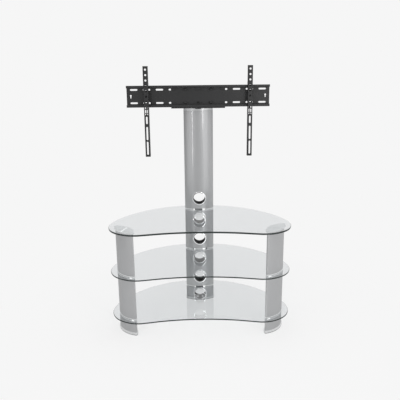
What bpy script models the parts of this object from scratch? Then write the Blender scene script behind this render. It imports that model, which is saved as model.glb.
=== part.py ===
"""Television stand: three glass shelves, an oval column, two oval front legs and a slotted screen bracket.

Units are metres, +Z is up, +X is the viewer's right and -Y faces the viewer.
The origin is on the floor, midway across the shelves and midway through their depth.
"""
import math

import bmesh
import bpy
from mathutils import Vector

# General
MILLIMETRE = 0.001
CLEARANCE = 0.0003
OVERRUN = 0.002
SMOOTH_ANGLE = math.radians(32)

# Glass shelves, with half of the outline from the middle of the rear to the middle of the front
SHELF_WIDTH = 0.850
SHELF_DEPTH = 0.482
TOP_GLASS_THICKNESS = 0.008
LOWER_GLASS_THICKNESS = 0.006
OUTLINE_SPAN_STEPS = 2
SHELF_OUTLINE_SHARES = (
    (0.00, 1.000), (0.22, 0.980), (0.41, 0.929), (0.585, 0.844), (0.73, 0.738), (0.87, 0.595),
    (0.96, 0.450), (0.994, 0.350), (1.00, 0.250), (0.962, 0.147), (0.888, 0.069), (0.785, 0.016),
    (0.683, 0.000), (0.588, 0.012), (0.40, 0.045), (0.20, 0.066), (0.00, 0.072),
)

# Heights of the stack, from the floor up
FOOT_HEIGHT = 0.072
BAY_HEIGHT = 0.209
MAST_LENGTH = 0.506

# Oval extrusion used by the column and by the legs
PROFILE_WIDTH = 0.146
PROFILE_DEPTH = 0.056
PROFILE_TIP_RADIUS = 0.005
PROFILE_WALL = 0.0025
COLUMN_ARC_STEPS = 8
COLUMN_TIP_STEPS = 3
LEG_ARC_STEPS = 6
LEG_TIP_STEPS = 3

# Places of the column and the legs on the shelf
COLUMN_REAR_INSET = 0.065
LEG_SIDE_INSET = 0.076
LEG_FRONT_INSET = 0.089
LEG_TURN = math.radians(52)

# End caps of the extrusions, with a notch at the front
CAP_THICKNESS = 0.0047
PLUG_DEPTH = 0.004
NOTCH_WIDTH = 0.048
NOTCH_HEIGHT = 0.0036
NOTCH_DEPTH = 0.009

# Feet
FOOT_CAP_HEIGHT = 0.012
FOOT_CAP_FLARE = 0.0015
BASE_PLATE_THICKNESS = 0.004
FOOT_PLATE_THICKNESS = 0.0035

# Tie rods and nuts
ROD_DIAMETER = 0.008
ROD_SIDES = 12
ROD_HOLE_CLEARANCE = 0.0006
COLUMN_ROD_SPACING = 0.104
NUT_WIDTH = 0.013
NUT_HEIGHT = 0.0045
NUT_RECESS_DIAMETER = 0.018
NUT_RECESS_DEPTH = 0.0055

# Bond strip groove across the top of a leg
STRIP_WIDTH = 0.009
STRIP_THICKNESS = 0.0015
STRIP_OFFSET = 0.0165

# Cable holes and rings
RING_DIAMETER = 0.070
RING_BORE = 0.0586
RING_PROUD = 0.003
RING_EDGE = 0.001
COLLAR_WALL = 0.0018
COLLAR_REACH = 0.005
RING_SIDES = 20
LOW_HOLE_RISE = 0.061
HIGH_HOLE_DROP = 0.041
FOOT_HOLE_HEIGHT = 0.0365
DUCT_WIDTH = 0.076
DUCT_DEPTH = 0.020
SLOT_END_STEPS = 3

# Head of the column
HEAD_HEIGHT = 0.106
HEAD_ROOF = 0.006
SPIGOT_WALL = 0.003
SPIGOT_LENGTH = 0.040
BOSS_WIDTH = 0.060
BOSS_HEIGHT = 0.072
BOSS_RISE = 0.026
BOSS_PROUD = 0.008
BOSS_ROOT = 0.0055

# Screws and bolts: shank diameter, head diameter and head height
SCREW_DIAMETER = 0.006
SCREW_HEAD_DIAMETER = 0.0115
SCREW_HEAD_HEIGHT = 0.003
BOLT_DIAMETER = 0.008
BOLT_HEAD_DIAMETER = 0.0150
BOLT_HEAD_HEIGHT = 0.004
SCREW_SIDES = 8

# Adapter plate behind the mounting plate
ADAPTER_WIDTH = 0.262
ADAPTER_BASE_DROP = 0.0075
ADAPTER_TOP_DROP = 0.008
ADAPTER_THICKNESS = 0.004
ADAPTER_TAB_WIDTH = 0.028
ADAPTER_TAB_DROP = 0.0035
ADAPTER_SCREW_SPACING = 0.044
ADAPTER_SCREW_RISE = 0.040
ADAPTER_SCREW_LENGTH = 0.010

# Mounting plate with its two lips; its rise is measured from the foot of the head
PLATE_LENGTH = 0.691
PLATE_HEIGHT = 0.1032
PLATE_RISE = 0.0204
PLATE_THICKNESS = 0.0025
LIP_HEIGHT = 0.012
LIP_STEP = 0.013
PLATE_END_STEP = 0.0025
PLATE_SLOT_PITCH = 0.062
PLATE_SLOT_LENGTH = 0.037
PLATE_SLOT_HEIGHT = 0.009
PLATE_SLOT_ROW_SPACING = 0.063
PLATE_SLOTS_EACH_SIDE = 5
KEYHOLE_INSET = 0.0205
KEYHOLE_HEAD = 0.0085
KEYHOLE_NECK = 0.0045
KEYHOLE_LENGTH = 0.013
KEYHOLE_RISE = 0.004

# Screen arms; their rise is measured from the upper edge of the mounting plate
ARM_SPACING = 0.498
ARM_LENGTH = 0.4315
ARM_RISE = 0.0904
ARM_WIDTH = 0.024
ARM_DEPTH = 0.018
ARM_WALL = 0.002
ARM_HOLE_DIAMETER = 0.0095
ARM_HOLE_PITCH = 0.025
ARM_HOLE_COUNT = 7
ARM_HOLE_TOP_GAP = 0.016
ARM_HOLE_SIDES = 10
ARM_SLOT_WIDTH = 0.0095
ARM_SHORT_SLOT = 0.0355
ARM_LONG_SLOT = 0.0645
ARM_FOOT_GAP = 0.010
ARM_LOW_BRIDGE = 0.0075
ARM_MID_BRIDGE = 0.0135
ARM_WINDOW_HEIGHT = 0.0365
ARM_WINDOW_WIDTH = 0.0135
WINDOW_POINT_HEIGHT = 0.011
WINDOW_POINT_WIDTH = 0.009
HOOK_REACH = 0.009
HOOK_TONGUE = 0.0032
HOOK_ROOT_HEIGHT = 0.014
LIP_PLAY = 0.0006

# Catch under each arm, with its guide pin and spring
CATCH_THICKNESS = 0.0035
CATCH_DROP = 0.0065
CATCH_HOOK_RISE = 0.0085
CATCH_SIDE_PLAY = 0.0005
CATCH_FRONT_PLAY = 0.0012
SEAT_THICKNESS = 0.0025
SPRING_LENGTH = 0.0165
SPRING_DIAMETER = 0.0066
SPRING_WIRE = 0.0008
SPRING_TURNS = 5
SPRING_TURN_POINTS = 8
WIRE_SIDES = 5
PIN_DIAMETER = 0.003
PIN_PLAY = 0.0004
PIN_REACH = 0.011

# Derived heights
BOTTOM_GLASS_Z = FOOT_HEIGHT
MIDDLE_GLASS_Z = BOTTOM_GLASS_Z + LOWER_GLASS_THICKNESS + BAY_HEIGHT
TOP_GLASS_Z = MIDDLE_GLASS_Z + LOWER_GLASS_THICKNESS + BAY_HEIGHT
MAST_Z = TOP_GLASS_Z + TOP_GLASS_THICKNESS
HEAD_Z = MAST_Z + MAST_LENGTH
HEAD_TOP = HEAD_Z + HEAD_HEIGHT

# Derived places
HALF_WIDTH = SHELF_WIDTH / 2
HALF_DEPTH = SHELF_DEPTH / 2
COLUMN_PLACE = (0, HALF_DEPTH - COLUMN_REAR_INSET)
LEG_X = HALF_WIDTH - LEG_SIDE_INSET
LEG_Y = LEG_FRONT_INSET - HALF_DEPTH
LEG_SIDES = (("left", -1), ("right", 1))
PROFILE_HALF = PROFILE_WIDTH / 2
PROFILE_SAGITTA = PROFILE_DEPTH / 2
ROD_RADIUS = ROD_DIAMETER / 2
ROD_HOLE_RADIUS = ROD_RADIUS + ROD_HOLE_CLEARANCE
COLUMN_FRONT = COLUMN_PLACE[1] - PROFILE_SAGITTA
BOSS_FRONT = COLUMN_FRONT - BOSS_PROUD
ADAPTER_FRONT = BOSS_FRONT - CLEARANCE - ADAPTER_THICKNESS
PLATE_REAR = ADAPTER_FRONT - CLEARANCE
PLATE_FRONT = PLATE_REAR - PLATE_THICKNESS
LIP_FRONT = PLATE_FRONT - LIP_STEP
LIP_REAR = LIP_FRONT + PLATE_THICKNESS
PLATE_BASE = HEAD_Z + PLATE_RISE
PLATE_TOP = PLATE_BASE + PLATE_HEIGHT
PLATE_MIDDLE = PLATE_BASE + PLATE_HEIGHT / 2
SLOT_ROWS = (PLATE_MIDDLE - PLATE_SLOT_ROW_SPACING / 2, PLATE_MIDDLE + PLATE_SLOT_ROW_SPACING / 2)
ARM_REAR = LIP_FRONT - CLEARANCE
ARM_FRONT = ARM_REAR - ARM_DEPTH
ARM_TOP = PLATE_TOP + ARM_RISE
ARM_BASE = ARM_TOP - ARM_LENGTH
ARM_X = ARM_SPACING / 2
CATCH_TOP = PLATE_BASE - CATCH_DROP
CATCH_BASE = CATCH_TOP - CATCH_THICKNESS
SEAT_TOP = CATCH_BASE - SPRING_LENGTH
SPRING_Y = ARM_FRONT + (ARM_DEPTH + ARM_WALL) / 2


def clear_scene():
    """Remove every object so that the script starts from nothing."""
    for item in list(bpy.data.objects):
        bpy.data.objects.remove(item, do_unlink=True)


def make_material(name, colour, metallic, roughness, transmission=0.0):
    """Return a Principled material."""
    material = bpy.data.materials.new(name)
    material.use_nodes = True
    shader = material.node_tree.nodes["Principled BSDF"]
    shader.inputs["Base Color"].default_value = (*colour, 1.0)
    shader.inputs["Metallic"].default_value = metallic
    shader.inputs["Roughness"].default_value = roughness
    shader.inputs["Transmission Weight"].default_value = transmission
    return material


def add_object(name, mesh, material, place=(0, 0), turn=0):
    """Link a mesh as a named object at a place on the floor plan, turned about Z."""
    item = bpy.data.objects.new(name, mesh)
    item.location = (place[0], place[1], 0)
    item.rotation_euler = (0, 0, turn)
    if material is not None:
        mesh.materials.append(material)
    bpy.context.scene.collection.objects.link(item)
    return item


def finish_mesh(mesh, smooth):
    """Point the faces outward and shade round pieces smooth."""
    shape = bmesh.new()
    shape.from_mesh(mesh)
    bmesh.ops.recalc_face_normals(shape, faces=shape.faces)
    shape.to_mesh(mesh)
    shape.free()
    if smooth:
        mesh.shade_smooth()
        mesh.set_sharp_from_angle(angle=SMOOTH_ANGLE)
    return mesh


def skin(name, shells, ring=False, smooth=False):
    """Skin each shell's equal loops in order; a ring closes on itself, else both ends are filled."""
    points = []
    faces = []
    for loops in shells:
        count = len(loops[0])
        start = len(points)
        for loop in loops:
            points.extend(loop)
        steps = len(loops) if ring else len(loops) - 1
        for step in range(steps):
            low = start + step * count
            high = start + (step + 1) % len(loops) * count
            for index in range(count):
                after = (index + 1) % count
                faces.append((low + index, low + after, high + after, high + index))
        if not ring:
            faces.append(tuple(range(start + count - 1, start - 1, -1)))
            faces.append(tuple(range(start + (len(loops) - 1) * count, start + len(loops) * count)))
    mesh = bpy.data.meshes.new(name)
    mesh.from_pydata(points, [], faces)
    return finish_mesh(mesh, smooth)


def flat_loop(outline, height):
    """Lay a plan outline at a height."""
    return [(x, y, height) for x, y in outline]


def front_loop(outline, depth):
    """Stand an outline of (x, z) points at a depth."""
    return [(x, depth, z) for x, z in outline]


def side_loop(outline, x):
    """Stand an outline of (y, z) points at a place across."""
    return [(x, y, z) for y, z in outline]


def circle(radius, sides, middle=(0, 0)):
    """Points round a circle."""
    turns = [2 * math.pi * index / sides for index in range(sides)]
    return [(middle[0] + radius * math.cos(turn), middle[1] + radius * math.sin(turn)) for turn in turns]


def rectangle(low, high):
    """Corners of a rectangle from its low and high corner."""
    return [(low[0], low[1]), (high[0], low[1]), (high[0], high[1]), (low[0], high[1])]


def slot_outline(length, height, middle=(0, 0), upright=False):
    """Outline of a slot with round ends."""
    radius = height / 2
    reach = length / 2 - radius
    points = []
    for side in (1, -1):
        for step in range(SLOT_END_STEPS + 1):
            turn = math.pi * (step / SLOT_END_STEPS - 1 / 2)
            along = side * (reach + radius * math.cos(turn))
            across = side * radius * math.sin(turn)
            points.append((middle[0] - across, middle[1] + along) if upright
                          else (middle[0] + along, middle[1] + across))
    return points


def box_shell(low, high):
    """Two loops of a box from its low corner to its high corner."""
    outline = rectangle(low[:2], high[:2])
    return [flat_loop(outline, low[2]), flat_loop(outline, high[2])]


def profile_arc():
    """Radius of the extrusion's long faces and how far their centres lie past the middle."""
    tip = PROFILE_HALF - PROFILE_TIP_RADIUS
    rise = PROFILE_SAGITTA - PROFILE_TIP_RADIUS
    radius = (tip ** 2 + PROFILE_SAGITTA ** 2 - PROFILE_TIP_RADIUS ** 2) / (2 * rise)
    return radius, radius - PROFILE_SAGITTA


def face_depth(x):
    """How far the extrusion's face lies from its middle plane at a place across it."""
    radius, past = profile_arc()
    return math.sqrt(radius ** 2 - x ** 2) - past


def profile(inset, arc_steps, tip_steps):
    """Outline of the extrusion moved in by an inset: two long arcs joined by round tips."""
    radius, past = profile_arc()
    tip = PROFILE_HALF - PROFILE_TIP_RADIUS
    half_turn = math.atan2(tip, past)
    points = []
    for side in (1, -1):
        for step in range(arc_steps + 1):
            turn = half_turn * (2 * step / arc_steps - 1)
            reach = radius - inset
            points.append((side * reach * math.sin(turn), side * (past - reach * math.cos(turn))))
        for step in range(1, tip_steps):
            turn = (math.pi / 2 - half_turn) * (2 * step / tip_steps - 1)
            reach = PROFILE_TIP_RADIUS - inset
            points.append((side * (tip + reach * math.cos(turn)), side * reach * math.sin(turn)))
    return points


def column_profile(inset=0):
    """The extrusion's outline as the column draws it."""
    return profile(inset, COLUMN_ARC_STEPS, COLUMN_TIP_STEPS)


def leg_profile(inset=0):
    """The extrusion's outline as the legs draw it."""
    return profile(inset, LEG_ARC_STEPS, LEG_TIP_STEPS)


def shelf_outline():
    """Closed curve through the mirrored outline shares, a few points to each span."""
    half = [(x * HALF_WIDTH, y * SHELF_DEPTH - HALF_DEPTH) for x, y in SHELF_OUTLINE_SHARES]
    left = [(-x, y) for x, y in reversed(half[1:-1])]
    knots = [Vector(point) for point in half + left]
    points = []
    for index, knot in enumerate(knots):
        before = knots[index - 1]
        after = knots[(index + 1) % len(knots)]
        beyond = knots[(index + 2) % len(knots)]
        for step in range(OUTLINE_SPAN_STEPS):
            share = step / OUTLINE_SPAN_STEPS
            slope = (after - before) / 2
            next_slope = (beyond - knot) / 2
            cube = share ** 3
            square = share ** 2
            point = (knot * (2 * cube - 3 * square + 1) + slope * (cube - 2 * square + share)
                     + after * (3 * square - 2 * cube) + next_slope * (cube - square))
            points.append((point.x, point.y))
    return points


def cut(item, name, shells, place=(0, 0), turn=0):
    """Cut closed shells out of an object."""
    return combine(item, name, shells, "DIFFERENCE", place, turn)


def combine(item, name, shells, operation, place=(0, 0), turn=0):
    """Cut closed shells out of an object, or join them to it, with a Boolean."""
    tool = add_object(name, skin(name, shells), None, place, turn)
    tool.hide_render = True
    tool.display_type = "WIRE"
    modifier = item.modifiers.new(name, "BOOLEAN")
    modifier.operation = operation
    modifier.object = tool
    modifier.solver = "EXACT"
    return tool


def tube(name, outline, low, high, material, place, turn=0):
    """A length of the extrusion, drawn with one of the two outline functions."""
    outer = outline()
    inner = outline(PROFILE_WALL)
    loops = [flat_loop(outer, low), flat_loop(outer, high), flat_loop(inner, high), flat_loop(inner, low)]
    return add_object(name, skin(name, [loops], ring=True, smooth=True), material, place, turn)


def rod_shell(low, high, middle=(0, 0), radius=ROD_RADIUS):
    """Two loops of a rod."""
    outline = circle(radius, ROD_SIDES, middle)
    return [flat_loop(outline, low), flat_loop(outline, high)]


def hexagon(width):
    """A hexagon with as many points as a rod has sides: its corners and the middles of its sides."""
    flat = width / 2
    corner = flat / math.cos(math.pi / 6)
    points = []
    for index in range(ROD_SIDES):
        turn = 2 * math.pi * index / ROD_SIDES
        reach = flat if index % 2 else corner
        points.append((reach * math.cos(turn), reach * math.sin(turn)))
    return points


def tie_rod(name, ends, nuts, material, place, turn=0):
    """A threaded rod with its two nuts run on; nuts are the lower faces of the nuts, low one first."""
    rod = circle(ROD_RADIUS, ROD_SIDES)
    nut = hexagon(NUT_WIDTH)
    loops = [flat_loop(rod, ends[0])]
    for low in nuts:
        high = low + NUT_HEIGHT
        loops.extend([flat_loop(rod, low), flat_loop(nut, low), flat_loop(nut, high), flat_loop(rod, high)])
    loops.append(flat_loop(rod, ends[1]))
    return add_object(name, skin(name, [loops], smooth=True), material, place, turn)


def glass_shelf(name, low, thickness, material, leg_holes):
    """One shelf with its holes for the rods and for the cables in the column."""
    outline = shelf_outline()
    high = low + thickness
    shelf = add_object(name, skin(name, [[flat_loop(outline, low), flat_loop(outline, high)]]), material)
    bottom = low - OVERRUN
    top = high + OVERRUN
    duct = slot_outline(DUCT_WIDTH, DUCT_DEPTH, COLUMN_PLACE)
    shells = [[flat_loop(duct, bottom), flat_loop(duct, top)]]
    for side in (-1, 1):
        middle = (side * COLUMN_ROD_SPACING / 2, COLUMN_PLACE[1])
        shells.append(rod_shell(bottom, top, middle, ROD_HOLE_RADIUS))
        if leg_holes:
            shells.append(rod_shell(bottom, top, (side * LEG_X, LEG_Y), ROD_HOLE_RADIUS))
    cut(shelf, name + "_holes", shells)
    return shelf


def cap_loops(outline, plate, plug_inset, upward):
    """Loops of a cap plate at a height with its plug, which points up or down."""
    sign = 1 if upward else -1
    seat = plate + sign * CAP_THICKNESS
    tip = seat + sign * (CLEARANCE + PLUG_DEPTH)
    return [flat_loop(outline(), plate), flat_loop(outline(), seat),
            flat_loop(outline(plug_inset), seat), flat_loop(outline(plug_inset), tip)]


def notch_shell(plate, upward):
    """Box of the front notch in a cap, between two seats, on the side that meets the glass."""
    sign = 1 if upward else -1
    low, high = sorted((plate - sign * OVERRUN, plate + sign * NOTCH_HEIGHT))
    return box_shell((-NOTCH_WIDTH / 2, -PROFILE_SAGITTA - OVERRUN, low),
                     (NOTCH_WIDTH / 2, NOTCH_DEPTH - PROFILE_SAGITTA, high))


def end_cap(name, outline, end, material, place, turn, openings):
    """A cap on an extrusion's end: plate against the glass, plug in the tube, notch at the front.

    The end is the height of the glass face and whether the cap stands above it.
    """
    plate, upward = end
    loops = cap_loops(outline, plate, PROFILE_WALL + CLEARANCE, upward)
    cap = add_object(name, skin(name, [loops]), material, place, turn)
    reach = CAP_THICKNESS + PLUG_DEPTH + OVERRUN
    cut(cap, name + "_notch", [notch_shell(plate, upward)], place, turn)
    cut(cap, name + "_openings", openings(plate - reach, plate + reach), place, turn)
    return cap


def column_openings(low, high):
    """The cable duct and the two rod holes."""
    duct = slot_outline(DUCT_WIDTH, DUCT_DEPTH)
    shells = [[flat_loop(duct, low), flat_loop(duct, high)]]
    shells.extend(column_rod_holes(low, high))
    return shells


def column_rod_holes(low, high):
    """The two rod holes."""
    return [rod_shell(low, high, (side * COLUMN_ROD_SPACING / 2, 0), ROD_HOLE_RADIUS) for side in (-1, 1)]


def leg_openings(low, high):
    """The one rod hole of a leg."""
    return [rod_shell(low, high, (0, 0), ROD_HOLE_RADIUS)]


def hole_shell(height):
    """A round cutter that goes through both faces of the column."""
    outline = circle(RING_BORE / 2 + COLLAR_WALL + CLEARANCE, RING_SIDES, (0, height))
    reach = PROFILE_SAGITTA + OVERRUN
    return [front_loop(outline, -reach), front_loop(outline, reach)]


def ring_loop(radius, proud, height):
    """Loop round a cable hole that follows the column's front face, so far proud of it."""
    return [(x, -face_depth(x) - proud, z) for x, z in circle(radius, RING_SIDES, (0, height))]


def cable_ring_loops(height):
    """Flange and collar of a cable ring in the front face."""
    outer = RING_DIAMETER / 2
    bore = RING_BORE / 2
    collar = bore + COLLAR_WALL
    inside = -PROFILE_WALL - COLLAR_REACH
    rows = ((outer, CLEARANCE), (outer - RING_EDGE, RING_PROUD), (bore + RING_EDGE, RING_PROUD),
            (bore, inside), (collar, inside), (collar, CLEARANCE))
    return [ring_loop(radius, proud, height) for radius, proud in rows]


def screw_loops(along, tip, seat, radius, head_radius, head_height):
    """Loops of a button-headed screw; along places a circle of some radius at a distance."""
    top = seat + (head_height if seat > tip else -head_height)
    return [along(radius, tip), along(radius, seat), along(head_radius, seat), along(head_radius / 2, top)]


def front_screw(x, z, tip, seat, radius, head_radius, head_height):
    """A screw that lies along Y."""
    def along(size, depth):
        return front_loop(circle(size, SCREW_SIDES, (x, z)), depth)
    return screw_loops(along, tip, seat, radius, head_radius, head_height)


def build_shelves(glass):
    """The three glass shelves."""
    glass_shelf("glass_bottom_shelf", BOTTOM_GLASS_Z, LOWER_GLASS_THICKNESS, glass, True)
    glass_shelf("glass_middle_shelf", MIDDLE_GLASS_Z, LOWER_GLASS_THICKNESS, glass, True)
    glass_shelf("glass_top_shelf", TOP_GLASS_Z, TOP_GLASS_THICKNESS, glass, False)


def bay_span(low_glass, thickness, high_glass):
    """Low and high ends of what stands between two sheets of glass."""
    return low_glass + thickness + CLEARANCE, high_glass - CLEARANCE


def build_column_foot(silver, trim, steel):
    """Foot section with its foot cap and its inner top plate."""
    top = BOTTOM_GLASS_Z - CLEARANCE
    seat = BASE_PLATE_THICKNESS + CLEARANCE
    foot = tube("column_foot_section", column_profile, seat, top, silver, COLUMN_PLACE)
    cut(foot, "column_foot_hole", [hole_shell(FOOT_HOLE_HEIGHT)], COLUMN_PLACE)
    inset = PROFILE_WALL + CLEARANCE
    flare = column_profile(-CLEARANCE - FOOT_CAP_FLARE)
    sleeve = column_profile(-CLEARANCE)
    loops = [flat_loop(flare, 0), flat_loop(flare, FOOT_CAP_HEIGHT), flat_loop(sleeve, FOOT_CAP_HEIGHT),
             flat_loop(sleeve, BASE_PLATE_THICKNESS)]
    cap = add_object("column_foot_cap", skin("column_foot_cap", [loops]), trim, COLUMN_PLACE)
    gap = circle(RING_DIAMETER / 2 + CLEARANCE, RING_SIDES, (0, FOOT_HOLE_HEIGHT))
    reach = PROFILE_SAGITTA + FOOT_CAP_FLARE + OVERRUN
    shells = column_rod_holes(-OVERRUN, FOOT_CAP_HEIGHT)
    shells.append([front_loop(gap, -reach), front_loop(gap, reach)])
    cut(cap, "column_foot_cap_openings", shells, COLUMN_PLACE)
    low = top - FOOT_PLATE_THICKNESS
    lid = [flat_loop(column_profile(inset), low), flat_loop(column_profile(inset), top)]
    cover = add_object("column_foot_top_plate", skin("column_foot_top_plate", [lid]), steel, COLUMN_PLACE)
    cut(cover, "column_foot_top_plate_openings", column_openings(low - OVERRUN, top + OVERRUN), COLUMN_PLACE)


def build_column_bay(label, span, silver, trim):
    """One column section between two shelves, with a cap at each end and two cable holes."""
    low, high = span
    for end, plate, upward in (("bottom", low, True), ("top", high, False)):
        end_cap("column_%s_%s_cap" % (label, end), column_profile, (plate, upward), trim, COLUMN_PLACE, 0,
                column_openings)
    name = "column_%s_section" % label
    section = tube(name, column_profile, low + CAP_THICKNESS + CLEARANCE, high - CAP_THICKNESS - CLEARANCE,
                   silver, COLUMN_PLACE)
    holes = [hole_shell(low + LOW_HOLE_RISE), hole_shell(high - HIGH_HOLE_DROP)]
    cut(section, name + "_holes", holes, COLUMN_PLACE)


def build_mast(silver, trim):
    """The tall section above the top shelf."""
    low = MAST_Z + CLEARANCE
    end_cap("column_mast_bottom_cap", column_profile, (low, True), trim, COLUMN_PLACE, 0, column_openings)
    mast = tube("column_mast", column_profile, low + CAP_THICKNESS + CLEARANCE, HEAD_Z, silver, COLUMN_PLACE)
    cut(mast, "column_mast_hole", [hole_shell(low + LOW_HOLE_RISE)], COLUMN_PLACE)


def build_head(silver):
    """Head casting: a spigot that stands in the mast, a closed cover and a flat boss at the front."""
    low = HEAD_Z + CLEARANCE
    roof = HEAD_TOP - HEAD_ROOF
    foot = HEAD_Z - SPIGOT_LENGTH
    inset = PROFILE_WALL + CLEARANCE
    outer = column_profile()
    spigot = column_profile(inset)
    loops = [hollow_loop(inset + SPIGOT_WALL, roof), hollow_loop(inset + SPIGOT_WALL, foot),
             flat_loop(spigot, foot), flat_loop(spigot, low), flat_loop(outer, low),
             flat_loop(outer, HEAD_TOP)]
    head = add_object("column_head", skin("column_head", [loops], smooth=True), silver, COLUMN_PLACE)
    base = HEAD_Z + BOSS_RISE
    boss = box_shell((-BOSS_WIDTH / 2, -PROFILE_SAGITTA - BOSS_PROUD, base),
                     (BOSS_WIDTH / 2, BOSS_ROOT - PROFILE_SAGITTA, base + BOSS_HEIGHT))
    combine(head, "column_head_boss", [boss], "UNION", COLUMN_PLACE)
    bores = column_rod_holes(roof - OVERRUN, HEAD_TOP + OVERRUN)
    back = PROFILE_WALL + inset + SPIGOT_WALL - PROFILE_SAGITTA
    for x, z in adapter_screw_places():
        outline = circle(SCREW_DIAMETER / 2 + CLEARANCE, SCREW_SIDES, (x, z))
        face = -PROFILE_SAGITTA - BOSS_PROUD
        bores.append([front_loop(outline, face - OVERRUN), front_loop(outline, back)])
    cut(head, "column_head_bores", bores, COLUMN_PLACE)


def hollow_loop(inset, height):
    """Outline drawn in from the extrusion's by an inset wider than its tips are round."""
    wide = (PROFILE_HALF - inset) / PROFILE_HALF
    deep = (PROFILE_SAGITTA - inset) / PROFILE_SAGITTA
    return [(x * wide, y * deep, height) for x, y in column_profile()]


def build_column_rods(zinc):
    """Two full-length tie rods, each with a nut at either end."""
    for name, side in LEG_SIDES:
        place = (side * COLUMN_ROD_SPACING / 2, COLUMN_PLACE[1])
        nuts = (BASE_PLATE_THICKNESS + CLEARANCE, HEAD_TOP + CLEARANCE)
        ends = (0, nuts[1] + NUT_HEIGHT + OVERRUN)
        tie_rod("column_tie_rod_" + name, ends, nuts, zinc, place)


def build_cable_rings(chrome):
    """A ring in the front of each of the six cable holes."""
    bottom, middle, mast = hole_heights()
    heights = [mast[0], middle[1], middle[0], bottom[1], bottom[0], FOOT_HOLE_HEIGHT]
    for index, height in enumerate(heights):
        name = "cable_ring_" + str(index + 1)
        mesh = skin(name, [cable_ring_loops(height)], ring=True, smooth=True)
        add_object(name, mesh, chrome, COLUMN_PLACE)


def hole_heights():
    """Heights of the cable holes: lower section, upper section and mast."""
    lower = bay_span(BOTTOM_GLASS_Z, LOWER_GLASS_THICKNESS, MIDDLE_GLASS_Z)
    upper = bay_span(MIDDLE_GLASS_Z, LOWER_GLASS_THICKNESS, TOP_GLASS_Z)
    mast = MAST_Z + CLEARANCE
    return ((lower[0] + LOW_HOLE_RISE, lower[1] - HIGH_HOLE_DROP),
            (upper[0] + LOW_HOLE_RISE, upper[1] - HIGH_HOLE_DROP), (mast + LOW_HOLE_RISE,))


def leg_ends():
    """For each plain cap, the glass face that it meets and whether the cap stands above it."""
    lower = bay_span(BOTTOM_GLASS_Z, LOWER_GLASS_THICKNESS, MIDDLE_GLASS_Z)
    upper = bay_span(MIDDLE_GLASS_Z, LOWER_GLASS_THICKNESS, TOP_GLASS_Z)
    return {"foot_top": (BOTTOM_GLASS_Z - CLEARANCE, False), "lower_bottom": (lower[0], True),
            "lower_top": (lower[1], False), "upper_bottom": (upper[0], True)}


def build_leg(side_name, side, silver, trim, zinc):
    """One front leg: three sections, their caps, the crown, the foot cap and a tie rod."""
    place = (side * LEG_X, LEG_Y)
    turn = side * LEG_TURN
    prefix = side_name + "_leg_"
    ends = leg_ends()
    top = TOP_GLASS_Z - CLEARANCE
    reach = CAP_THICKNESS + CLEARANCE
    spans = {
        "foot": (FOOT_CAP_HEIGHT + CLEARANCE, ends["foot_top"][0] - reach),
        "lower": (ends["lower_bottom"][0] + reach, ends["lower_top"][0] - reach),
        "upper": (ends["upper_bottom"][0] + reach, top - reach),
    }
    for label, (low, high) in spans.items():
        tube(prefix + label + "_section", leg_profile, low, high, silver, place, turn)
    for label, end in ends.items():
        end_cap(prefix + label + "_cap", leg_profile, end, trim, place, turn, leg_openings)
    build_leg_crown(prefix, side, top, trim, place, turn)
    build_foot_cap(prefix, trim, place, turn)
    nuts = (NUT_RECESS_DEPTH - NUT_HEIGHT - CLEARANCE, top - NUT_RECESS_DEPTH + CLEARANCE)
    ends = (CLEARANCE, top - CLEARANCE)
    tie_rod(prefix + "tie_rod", ends, nuts, zinc, place, turn)


def build_leg_crown(prefix, side, top, trim, place, turn):
    """Cap under the top glass, with a recess for the nut and a channel for the bond strip."""
    loops = cap_loops(leg_profile, top, PROFILE_WALL + CLEARANCE, False)
    crown = add_object(prefix + "crown", skin(prefix + "crown", [loops]), trim, place, turn)
    recess = circle(NUT_RECESS_DIAMETER / 2, ROD_SIDES)
    half = STRIP_WIDTH / 2 + CLEARANCE
    middle = side * STRIP_OFFSET
    channel = box_shell((middle - half, -PROFILE_DEPTH, top - STRIP_THICKNESS - CLEARANCE),
                        (middle + half, PROFILE_DEPTH, top + OVERRUN))
    pocket = [flat_loop(recess, top - NUT_RECESS_DEPTH), flat_loop(recess, top + OVERRUN)]
    cut(crown, prefix + "crown_recess", [pocket, channel], place, turn)
    reach = CAP_THICKNESS + PLUG_DEPTH + OVERRUN
    cut(crown, prefix + "crown_bore", leg_openings(top - reach, top + OVERRUN), place, turn)


def build_foot_cap(prefix, trim, place, turn):
    """Flared cap on the floor end of a leg, with a recess for the nut."""
    plug = leg_profile(PROFILE_WALL + CLEARANCE)
    flare = leg_profile(-FOOT_CAP_FLARE)
    loops = [flat_loop(flare, 0), flat_loop(flare, FOOT_CAP_HEIGHT), flat_loop(plug, FOOT_CAP_HEIGHT),
             flat_loop(plug, FOOT_CAP_HEIGHT + PLUG_DEPTH)]
    cap = add_object(prefix + "foot_cap", skin(prefix + "foot_cap", [loops]), trim, place, turn)
    recess = circle(NUT_RECESS_DIAMETER / 2, ROD_SIDES)
    pocket = [flat_loop(recess, -OVERRUN), flat_loop(recess, NUT_RECESS_DEPTH)]
    cut(cap, prefix + "foot_cap_recess", [pocket], place, turn)
    cut(cap, prefix + "foot_cap_bore", leg_openings(0, FOOT_CAP_HEIGHT + PLUG_DEPTH + OVERRUN), place, turn)


def adapter_screw_places():
    """Places of the screws that hold the adapter plate on the boss, in the column's frame."""
    base = HEAD_Z + ADAPTER_SCREW_RISE
    return [(0, base + level * ADAPTER_SCREW_SPACING) for level in (0, 1)]


def plate_bolt_places():
    """Places of the bolts that join the mounting plate to the adapter plate."""
    return [(level + "_" + name, side * PLATE_SLOT_PITCH, height)
            for level, height in zip(("lower", "upper"), SLOT_ROWS) for name, side in LEG_SIDES]


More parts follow.
